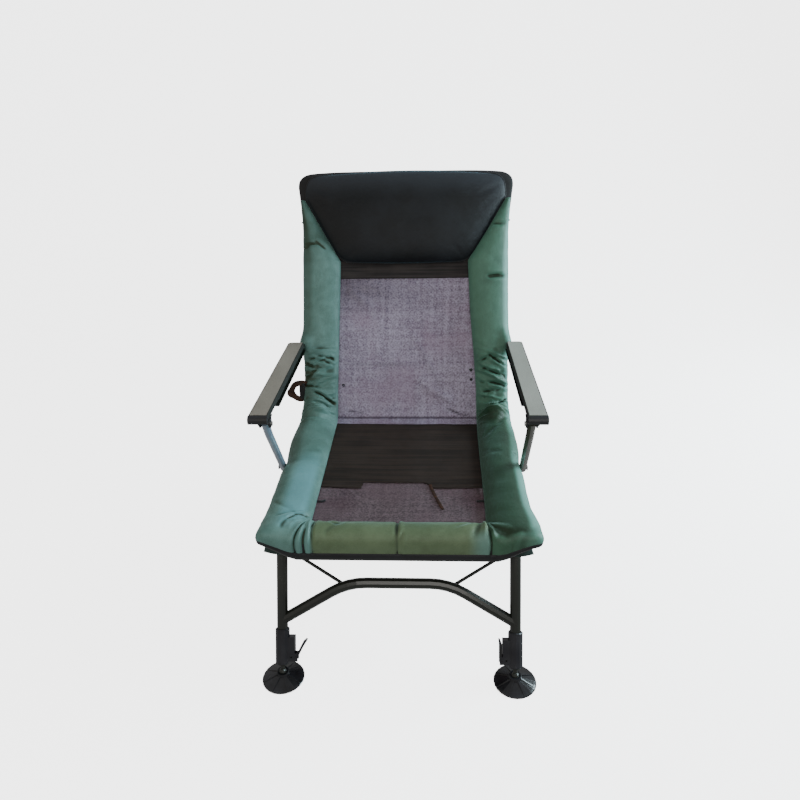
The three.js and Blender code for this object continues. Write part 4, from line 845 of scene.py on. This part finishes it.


# Lit and shaded copies of one green satin: the left sleeve's colours are paler and bluer, painted light,
# and the right one's darker, painted shade. Each pale colour is the painted light's colour.
left_satin = (rgb(84, 122, 114), rgb(112, 154, 148), rgb(40, 58, 38), rgb(110, 164, 170))
right_satin = (rgb(50, 84, 62), rgb(68, 108, 84), rgb(20, 43, 16), rgb(130, 188, 176))
left_reach, right_reach = 0.114, 0.121
for side, seam_turn, corner_reach, folds, tones, satin, name in (
    (-1, 70, left_reach, left_creases, left_tones, left_satin, "left"),
    (1, 85, right_reach, right_creases, right_tones, right_satin, "right"),
):
    u, v, lip_share, outward, taped = rim_rows(0.77, 0.15)
    runs = np.concatenate([
        np.arange(0.0035, 0.39, 0.0035), np.arange(0.39, 0.76, 0.002),
        np.linspace(0.76, seat_run + bend_run + back_run, 110),
    ])
    high = runs - seat_run - bend_run
    inner = corner_x - 0.009 * np.clip((high - 0.058) / 0.374, 0, 1)
    inner = inner + (0.293 - inner) * np.clip((high - 0.432) / 0.18, 0, 1)
    outer = np.interp(runs, *zip(*outer_edge))
    if side > 0:
        inner = inner + np.interp(runs, *zip(*right_opening))
    outer += (corner_reach - left_reach) * (1 - eased(runs, 0.0, 0.08))
    full = np.clip((outer - inner) / 0.097, 0, 1.02)
    thick = crown * np.sqrt(full)
    lip = lip_long * full * np.interp(runs, (0, 0.03, 0.09), (0.3, 0.6, 1.0))
    tape = np.interp(runs, (0, 0.03, 0.3, 0.5, 0.75), (0.0055, 0.007, 0.0085, 0.007, 0.005))
    fill_out = np.interp(u, (0, 0.2, 0.45, 0.88, 1.01), (0.02, 0.12, 0.9, 1.0, 0.45)) * (v > 0.3)
    rise = base_gap + thick[:, None] * v - lip[:, None] * lip_share - tape[:, None] * taped
    y, z = bridged_line(np.broadcast_to(runs[:, None], rise.shape), rise, fill_out)
    x = inner[:, None] + (outer - inner)[:, None] * u + outward / 1000
    straight = np.stack([x, y, z], axis=-1)
    angles = np.linspace(seam_turn, 0, 46)
    turns = np.radians(angles)
    reach = ((np.cos(turns) / corner_reach) ** 9 + (np.sin(turns) / front_reach) ** 9) ** (-1 / 9)
    out = reach[:, None] * u + outward / 1000
    lip = lip_long * np.interp(angles, (0, 18, 34, 58, 72), (0.3, 0.08, 0.08, 0.85, 1.0))
    tape = np.interp(angles, (0, 20, 40, 60, 72), (0.0055, 0.0075, 0.0105, 0.0165, edge_tape))
    lift = 0.009 * np.exp(-(((angles - 28) / 17) ** 2))
    rise = base_gap + crown * v - lip[:, None] * lip_share - tape[:, None] * taped
    rise += lift[:, None] * np.clip(u, 0, 1) ** 3
    fan = np.stack([
        corner_x + out * np.cos(turns)[:, None],
        corner_y - out * np.sin(turns)[:, None],
        np.broadcast_to(seat_top + rise, out.shape),
    ], axis=-1)
    points = np.vstack([fan, straight])
    points[..., 0] *= side
    normals = surface_normals(points, (0, -0.5, 0.85))
    run = np.concatenate([-turns * 0.06, runs])
    across = np.concatenate([reach, outer - inner])[:, None] * u
    flat = np.stack([np.broadcast_to(run[:, None], across.shape), across], axis=-1)
    hem_side = 1 - 0.8 * eased(u, 0.86, 1.0)
    swell = 0.0016 * ripple(flat, (9, 14), 2.2 + side) + 0.0009 * ripple(flat, (28, 20), 7.7 + side)
    bent = eased(run, 0.42, 0.52) * (1 - eased(run, 0.66, 0.76))
    slant = flat + flat[:, :, ::-1] * (0.35, 0)
    rolls = (1 - np.abs(ripple(slant, (42, 11), 4.4 + side))) ** 4
    pinched = (1 - np.abs(ripple(slant * (1, -1), (60, 24), 8.1 + side))) ** 4
    swell += bent[:, None] * hem_side * (0.0065 * rolls + 0.003 * pinched - 0.004)
    plate_across = np.concatenate([np.full(len(turns), 0.059), 0.257 - inner])[:, None]
    over_pin = np.exp(
        -(((flat[..., 0] - 0.504) / 0.036) ** 2) - ((flat[..., 1] - plate_across) / 0.027) ** 2
    )
    over_bracket = np.exp(-(((run[:, None] - 0.73) / 0.028) ** 2) - ((u - 0.9) / 0.13) ** 2)
    swell += 0.0285 * over_pin + 0.018 * over_bracket
    held_flat = 1 - (1 - hem_side) * eased(run, 0.2, 0.3)[:, None]
    for start, end, deep, wide in folds:
        sharper = 1.75 if 0.49 < start[0] < 0.76 else 1
        swell += held_flat * crease(flat, start, end, deep * sharper, wide)
    swell *= np.clip(u * 9, 0, 1)
    finishes = [satin_finish(f"satin_{name}", *satin), binding, lining]
    rim = sew_rim(f"rim_{name}", points, normals, swell, finishes, *tones(run, u))
    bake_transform(rim)
    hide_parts(f"seat_pad_{name}", f"rim_fold_{name}", f"back_pad_{name}")

# Rim at the front: the same sleeve between the two corner gathers, sewn across in its middle.
u, v, lip_share, outward, taped = rim_rows(0.59, 0.22)
left_turns, right_turns = np.radians(np.linspace(70, 88, 14)), np.radians(np.linspace(89, 85, 3))
lengths = np.concatenate([
    np.linspace(-corner_x, -0.15, 32)[:-1], np.linspace(-0.15, 0.15, 76)[:-1],
    np.linspace(0.15, corner_x, 26),
])
rows = (
    [(-corner_x, -math.cos(turn), -math.sin(turn)) for turn in left_turns]
    + [(length, 0.0, -1.0) for length in lengths]
    + [(corner_x, math.cos(turn), -math.sin(turn)) for turn in right_turns]
)
rise = base_gap + crown * v - lip_long * lip_share - edge_tape * taped
points = []
for start_x, way_x, way_y in rows:
    out = front_reach / -way_y * u + outward / 1000
    points.append(np.stack([start_x + way_x * out, corner_y + way_y * out, seat_top + rise], axis=-1))
points = np.array(points)
normals = surface_normals(points, (0, -0.5, 0.85))
across = np.broadcast_to(front_reach * u, points.shape[:2])
flat = np.stack([points[..., 0], across], axis=-1)
swell = 0.0014 * ripple(flat, (9, 14), 6.1) + 0.0007 * ripple(flat, (30, 22), 1.3)
swell -= 0.0045 * np.exp(-(((flat[..., 0] - 0.001) / 0.0035) ** 2))
swell += 0.0022 * np.exp(-(((flat[..., 0] - 0.008) / 0.006) ** 2))
for start, end, deep, wide in (
    ((0.006, 0.075), (0.014, 0.05), 0.004, 0.004),
    ((0.188, 0.0), (0.166, 0.07), 0.0026, 0.010),
    ((0.193, 0.004), (0.189, 0.066), -0.003, 0.005),
    ((0.198, -0.006), (0.2045, 0.082), 0.005, 0.0035),
    ((-0.196, -0.008), (-0.227, 0.082), 0.0052, 0.004),
    ((-0.1985, 0.034), (-0.2065, 0.086), 0.0055, 0.0048),
    ((-0.1935, 0.01), (-0.190, 0.075), -0.003, 0.004),
    ((-0.182, 0.006), (-0.1885, 0.05), 0.0042, 0.005),
    ((-0.1885, 0.042), (-0.184, 0.072), 0.0034, 0.005),
    ((-0.120, 0.006), (-0.160, 0.06), 0.003, 0.012),
    ((-0.185, 0.0), (-0.12, 0.03), 0.002, 0.006),
    ((0.185, 0.0), (0.12, 0.04), 0.002, 0.006),
):
    swell += crease(flat, start, end, deep, wide)
swell *= np.clip(u * 9, 0, 1)
# Painted light: the front sleeve's left end and its lower right end are painted in the pale satin.
faded = 1 - eased(points[..., 0], -0.19, -0.181)
faded = faded + 0.7 * eased(points[..., 0], 0.15, 0.19) * eased(across, 0.035, 0.064)
# The front sleeve's olive colours are the same green satin painted in warm light.
front_satin = (rgb(88, 106, 76), rgb(108, 128, 96), rgb(46, 60, 42), rgb(100, 142, 136))
finishes = [satin_finish("satin_front", *front_satin), binding, lining]
front_rim = sew_rim("rim_front", points, normals, swell, finishes, faded, 0.0)
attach(front_rim, "seat")
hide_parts("seat_pad_front")

# Headrest: a filled pillow in black satin nylon, wider at its top, sewn to the back with a corded
# seam. It is fullest in its middle, sags a little over its lower edge, and is flat behind.
def pillow_finish():
    finish, flow, place = new_finish(
        "pillow_satin", Specular_IOR_Level=0.36, Sheen_Weight=0.4, Sheen_Roughness=0.3,
        Sheen_Tint=(0.4, 0.8, 1.0, 1),
    )
    warp, weft = weave(flow, 0.0014, 0.0014)
    cloud = speckle(flow, place, 13, 4)
    slubs = speckle(flow, place, 520, 2)
    crush = speckle(flow, place, 30, 4)
    shade = (cloud * 0.7 + slubs * 0.3).clipped(0.36, 0.66).mixed(rgb(15, 17, 20), rgb(27, 30, 35))
    # A band along the pillow's top is painted paler: a painted highlight where light catches its top edge.
    rubbed_and_painted_light = mark(flow, "cloth_v").clipped(0.60, 0.68)
    pressed = bumped(flow, crush, 0.003, 0.3)
    feed(
        finish,
        Base_Color=(rubbed_and_painted_light * 0.9).mixed(shade, rgb(56, 60, 66)),
        Roughness=cloud * 0.12 + slubs * 0.12 + 0.42,
        Normal=bumped(flow, warp * weft * 0.5 + slubs * 0.5, 0.00025, 0.5, pressed),
    )
    return finish


def pillow_half(v):
    """Half the pillow's width at a share of its height: slanting sides with rounded corners."""
    foot_half, head_half = 0.186, 0.291
    widest = foot_half + (head_half - foot_half) * np.clip(v / 0.74, 0, 1) ** 0.95
    low = np.clip(1 - v / 0.13, 0, 1)
    top = np.clip(1 - (1 - v) / 0.2, 0, 1)
    return widest - 0.026 * (1 - np.sqrt(1 - low**2)) - 0.034 * (1 - np.sqrt(1 - top**2.4))


rows, columns = 72, 96
v = (0.5 - 0.5 * np.cos(np.linspace(0, math.pi, rows)))[:, None]
u = np.sin(np.linspace(-math.pi / 2, math.pi / 2, columns))[None, :]
x = pillow_half(v) * u
foot = 0.431 - 0.004 * (1 - u**2)
head = 0.683 + 0.011 * (1 - u**2)
t = foot + (head - foot) * v
seam, full, roundness = 0.046, 0.043, 2.8
puff = np.clip(1 - np.abs(u) ** roundness, 0, 1) ** 0.55
puff = puff * np.clip(1 - np.abs(2 * v - 1) ** roundness, 0, 1) ** 0.5
puff = puff * (1.0 + 0.10 * np.cos(math.pi * (v - 0.35)) - 0.05 * u**2)
flat = np.stack(np.broadcast_arrays(x, t), axis=-1)
puff_out = puff * (full + 0.0028 * ripple(flat, (6, 7), 9.4) + 0.0012 * ripple(flat, (20, 16), 3.6))
for start, end, deep, wide in (
    ((-0.286, 0.655), (-0.20, 0.62), 0.0022, 0.008),
    ((-0.283, 0.635), (-0.22, 0.585), 0.0018, 0.007),
    ((0.286, 0.655), (0.21, 0.615), 0.0024, 0.008),
    ((0.278, 0.62), (0.215, 0.575), 0.0018, 0.007),
    ((-0.18, 0.436), (-0.13, 0.475), 0.0016, 0.007),
    ((0.18, 0.436), (0.135, 0.48), 0.002, 0.007),
    ((0.02, 0.43), (0.05, 0.47), 0.0012, 0.007),
):
    puff_out += puff * crease(flat, start, end, deep, wide)
front = back_point(x, seam - puff_out, t - 0.010 * puff * np.clip(1 - v / 0.35, 0, 1))
rear = back_point(x, seam + 0.003 * puff**0.5, t)
pillow = grid_piece("headrest", np.concatenate([front, rear[:, -2:0:-1]], axis=1), closed=True)
both_sides = np.concatenate([flat, flat[:, -2:0:-1]], axis=1)
note(pillow, cloth_u=both_sides[..., 0], cloth_v=both_sides[..., 1])
pillow.data.materials.append(pillow_finish())
close_ends(pillow)
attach(pillow, "back")
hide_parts("headrest_pillow")

# Pillow welt: a cord in a black bias strip, sewn into the seam all the way round.
def unit(vectors):
    return vectors / np.linalg.norm(vectors, axis=-1, keepdims=True)


def headings(path, looped):
    """The way ahead at each point of a path."""
    ahead = np.roll(path, -1, axis=0) - np.roll(path, 1, axis=0)
    if not looped:
        ahead[0], ahead[-1] = path[1] - path[0], path[-1] - path[-2]
    return unit(ahead)


def lengths_along(path):
    """How far along a path each of its points is."""
    return np.concatenate([[0], np.cumsum(np.linalg.norm(np.diff(path, axis=0), axis=1))])


def tube_along(name, path, radius, looped=False, squash=1.0):
    """A round or flattened tube along a path of points, with its section kept square to it."""
    turn = np.linspace(0, math.tau, 8, endpoint=False)
    ahead = headings(path, looped)
    side = np.cross(ahead[0], (0.3, 0.2, 0.93))
    rings = []
    for point, way in zip(path, ahead):
        side = unit(side - way * (side @ way))
        other = np.cross(way, side)
        ring = np.outer(np.cos(turn), side) + squash * np.outer(np.sin(turn), other)
        rings.append(point + radius * ring)
    if looped:
        rings.append(rings[0])
    piece = grid_piece(name, np.array(rings), closed=True)
    close_ends(piece, looped)
    return piece


on_seam = back_point(x, seam - 0.0005, t)
seam_path = np.concatenate([on_seam[:, -1], on_seam[-1, -2:0:-1], on_seam[::-1, 0], on_seam[0, 1:]])
run = lengths_along(seam_path)
even = np.linspace(0, run[-1], 260, endpoint=False)
seam_path = np.stack([np.interp(even, run, seam_path[:, i]) for i in range(3)], axis=1)
welt = tube_along("headrest_welt", seam_path, 0.0026, looped=True)
welt.data.materials.append(binding)
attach(welt, "back")

# Head cover: a pocket of black nylon pulled down over the top of the back frame, behind the
# pillow. Its empty corners stand out past the bent tube, and its hem is bound.
rows, columns = 44, 120
low, high, cover_depth = 0.552, 0.6985, 0.0575
v = np.linspace(0, 1, rows)[:, None]
turn = np.linspace(0, math.tau, columns, endpoint=False)[None, :]
t = low + (high - low) * (1 - (1 - v) ** 1.6)
corner = np.clip((t - 0.655) / (high - 0.655), 0, 1)
wide = 0.302 + 0.013 * np.clip((t - low) / 0.1, 0, 1) - 0.045 * (1 - np.sqrt(1 - corner**2.6))
flatness = 2 / 2.9
across = np.sign(np.cos(turn)) * np.abs(np.cos(turn)) ** flatness
deep = np.sign(np.sin(turn)) * np.abs(np.sin(turn)) ** flatness
flat = np.stack(np.broadcast_arrays(turn * 0.2 + 0 * t, t), axis=-1)
thin = 0.0185 * (1 - 0.9 * corner**3)
depth = cover_depth + (thin + 0.0012 * ripple(flat, (16, 30), 2.9) * (1 - corner)) * deep
x = wide * across
t = t - 0.004 * corner * np.abs(across) ** 6
cover = grid_piece("head_cover", back_point(x, depth, t), closed=True)
cover_mesh = bmesh.new()
cover_mesh.from_mesh(cover.data)
cover_mesh.verts.ensure_lookup_table()
top_row = set(cover_mesh.verts[(rows - 1) * columns:])
top_edges = [edge for edge in cover_mesh.edges if edge.is_boundary and top_row.issuperset(edge.verts)]
bmesh.ops.contextual_create(cover_mesh, geom=top_edges)
cover_mesh.to_mesh(cover.data)
cover_mesh.free()
cover.data.materials.append(lining)
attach(cover, "back")
hem_path = back_point(1.006 * x[0], cover_depth + (depth[0] - cover_depth) * 1.05, t[0])
hem = tube_along("head_cover_hem", hem_path, 0.003, looped=True, squash=0.6)
hem.data.materials.append(binding)
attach(hem, "back")

# Pull loop: brown webbing folded into a flat ring with a pointed tongue, and tacked with a black
# tab to the lining at the left of the back pad's foot. It stands out stiffly.
webbing = band_finish("loop_webbing", rgb(50, 34, 26), rgb(84, 57, 43))


def strap_along(name, path, face, wide, thick, looped=False):
    """A flat strap with rounded edges along a path. Its face looks along the given way."""
    ahead = headings(path, looped)
    side = unit(np.cross(ahead, face))
    normal = np.cross(side, ahead)
    wide = np.broadcast_to(wide, len(path))
    outline = np.array([
        (-1, -0.5), (-1, 0.5), (-0.9, 1), (-0.3, 1), (0.3, 1), (0.9, 1),
        (1, 0.5), (1, -0.5), (0.9, -1), (0.3, -1), (-0.3, -1), (-0.9, -1),
    ])
    rings = [
        point + np.outer(outline[:, 0] * width / 2, s) + np.outer(outline[:, 1] * thick / 2, n)
        for point, s, n, width in zip(path, side, normal, wide)
    ]
    run = lengths_along(path)
    if looped:
        rings.append(rings[0])
        run = np.append(run, run[-1] + np.linalg.norm(path[0] - path[-1]))
    piece = grid_piece(name, np.array(rings), closed=True)
    over = outline[:, 0] * wide[0] / 2
    note(piece, cloth_v=np.repeat(run, len(outline)), cloth_u=np.tile(over, len(rings)))
    close_ends(piece, looped)
    return piece


turns = np.linspace(0, math.tau, 56, endpoint=False)
tongue = 0.0085 * np.exp(-(((turns - math.radians(193)) / 0.3) ** 2))
ring_wide = 0.0162 + tongue
ring_reach = 0.0243 + tongue / 2
ring = np.stack([
    -0.3065 + ring_reach * np.cos(turns),
    0.203 + 0.012 * np.clip(np.cos(turns), 0, 1),
    0.4115 + 1.05 * ring_reach * np.sin(turns),
], axis=1)
loop_face, loop_thick = (0, -0.95, 0.3), 0.003
pull_loop = strap_along("pull_loop_left", ring, loop_face, ring_wide, loop_thick, looped=True)
tack_path = np.array([
    (-0.3005, 0.2045, 0.383), (-0.301, 0.2015, 0.398), (-0.301, 0.2015, 0.412), (-0.300, 0.205, 0.436),
])
tack = strap_along("pull_loop_tab", tack_path, loop_face, 0.017, loop_thick)
pull_loop.data.materials.append(webbing)
tack.data.materials.append(lining)
for piece in (pull_loop, tack):
    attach(piece, "back")

# Loose strap: a narrow brown tape end that hangs out from under the seat band, on the net.
strap_run = np.linspace(0, 1, 24)[:, None]
strap_path = np.concatenate([
    0.0735 + 0.0297 * strap_run**1.15, -0.1505 - 0.1035 * strap_run,
    0.3232 + 0.0022 * np.exp(-strap_run * 12) + 0.0012 * strap_run,
], axis=1)
loose_strap = strap_along("loose_strap", strap_path, (0, 0, 1), 0.0072, 0.0016)
loose_strap.data.materials.append(webbing)
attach(loose_strap, "seat")

# Tie ends: black elastic cord that laces the net to the tubes. Two straight ends show on the seat
# beside the pads, and three curled ones on the back.
for name, places in (
    ("tie_front_left", [
        (-0.200, -0.228, 0.328), (-0.192, -0.2275, 0.3268), (-0.185, -0.2255, 0.3255),
        (-0.179, -0.222, 0.3262),
    ]),
    ("tie_front_right", [
        (0.206, -0.2255, 0.328), (0.198, -0.222, 0.3272), (0.191, -0.2215, 0.3258),
        (0.184, -0.2225, 0.3262),
    ]),
):
    tie = tube_along(name, smooth_rows(places, 20), 0.0027)
    tie.data.materials.append(binding)
    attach(tie, "seat")
turns = np.linspace(-2.4, 1.9, 24)
for name, across_x, high, size in (
    ("tie_back_left", -0.184, 0.070, 0.0045), ("tie_back_right", 0.190, 0.114, 0.005),
    ("tie_back_right_low", 0.191, 0.086, 0.0042),
):
    curl = back_point(
        across_x + size * np.cos(turns) * (1 + 0.25 * turns), 0.0475 - 0.0015 * np.sin(turns),
        high + 1.5 * size * np.sin(turns) - 0.7 * size * turns,
    )
    tie = tube_along(name, curl, 0.0017)
    tie.data.materials.append(binding)
    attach(tie, "back")

# Leg tabs: a scrap of green cloth at each front corner, wrapped round the top of the leg and sewn
# to the lining, which keeps the corner down.
tab_inner, tab_long, tab_low = 0.2535, 0.0475, 0.281
bend = np.linspace(0, 1, 22)
for side, name in ((-1, "left"), (1, "right")):
    tab_path = np.stack([
        side * (tab_inner + tab_long * bend),
        -0.3655 - 0.004 * np.sin(math.pi * bend) + 0.010 * bend**2,
        tab_low + 0.0085 + 0.004 * bend - 0.006 * bend**3,
    ], axis=1)
    tab = strap_along(f"leg_tab_{name}", tab_path, (0, -1, 0.15), 0.0165, 0.0024)
    for corner in tab.data.vertices:
        out = np.clip((abs(corner.co.x) - tab_inner) / tab_long, 0, 1)
        corner.co.x += side * out * 0.5 * (tab_low + 0.006 - corner.co.z)
    # The tabs take a much darker copy of the sleeves' green satin: painted shade under the rim's lip.
    tab.data.materials.append(satin_finish(
        f"tab_{name}", rgb(22, 40, 36), rgb(36, 62, 56), rgb(14, 26, 22), rgb(36, 62, 56)
    ))
    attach(tab, "seat")
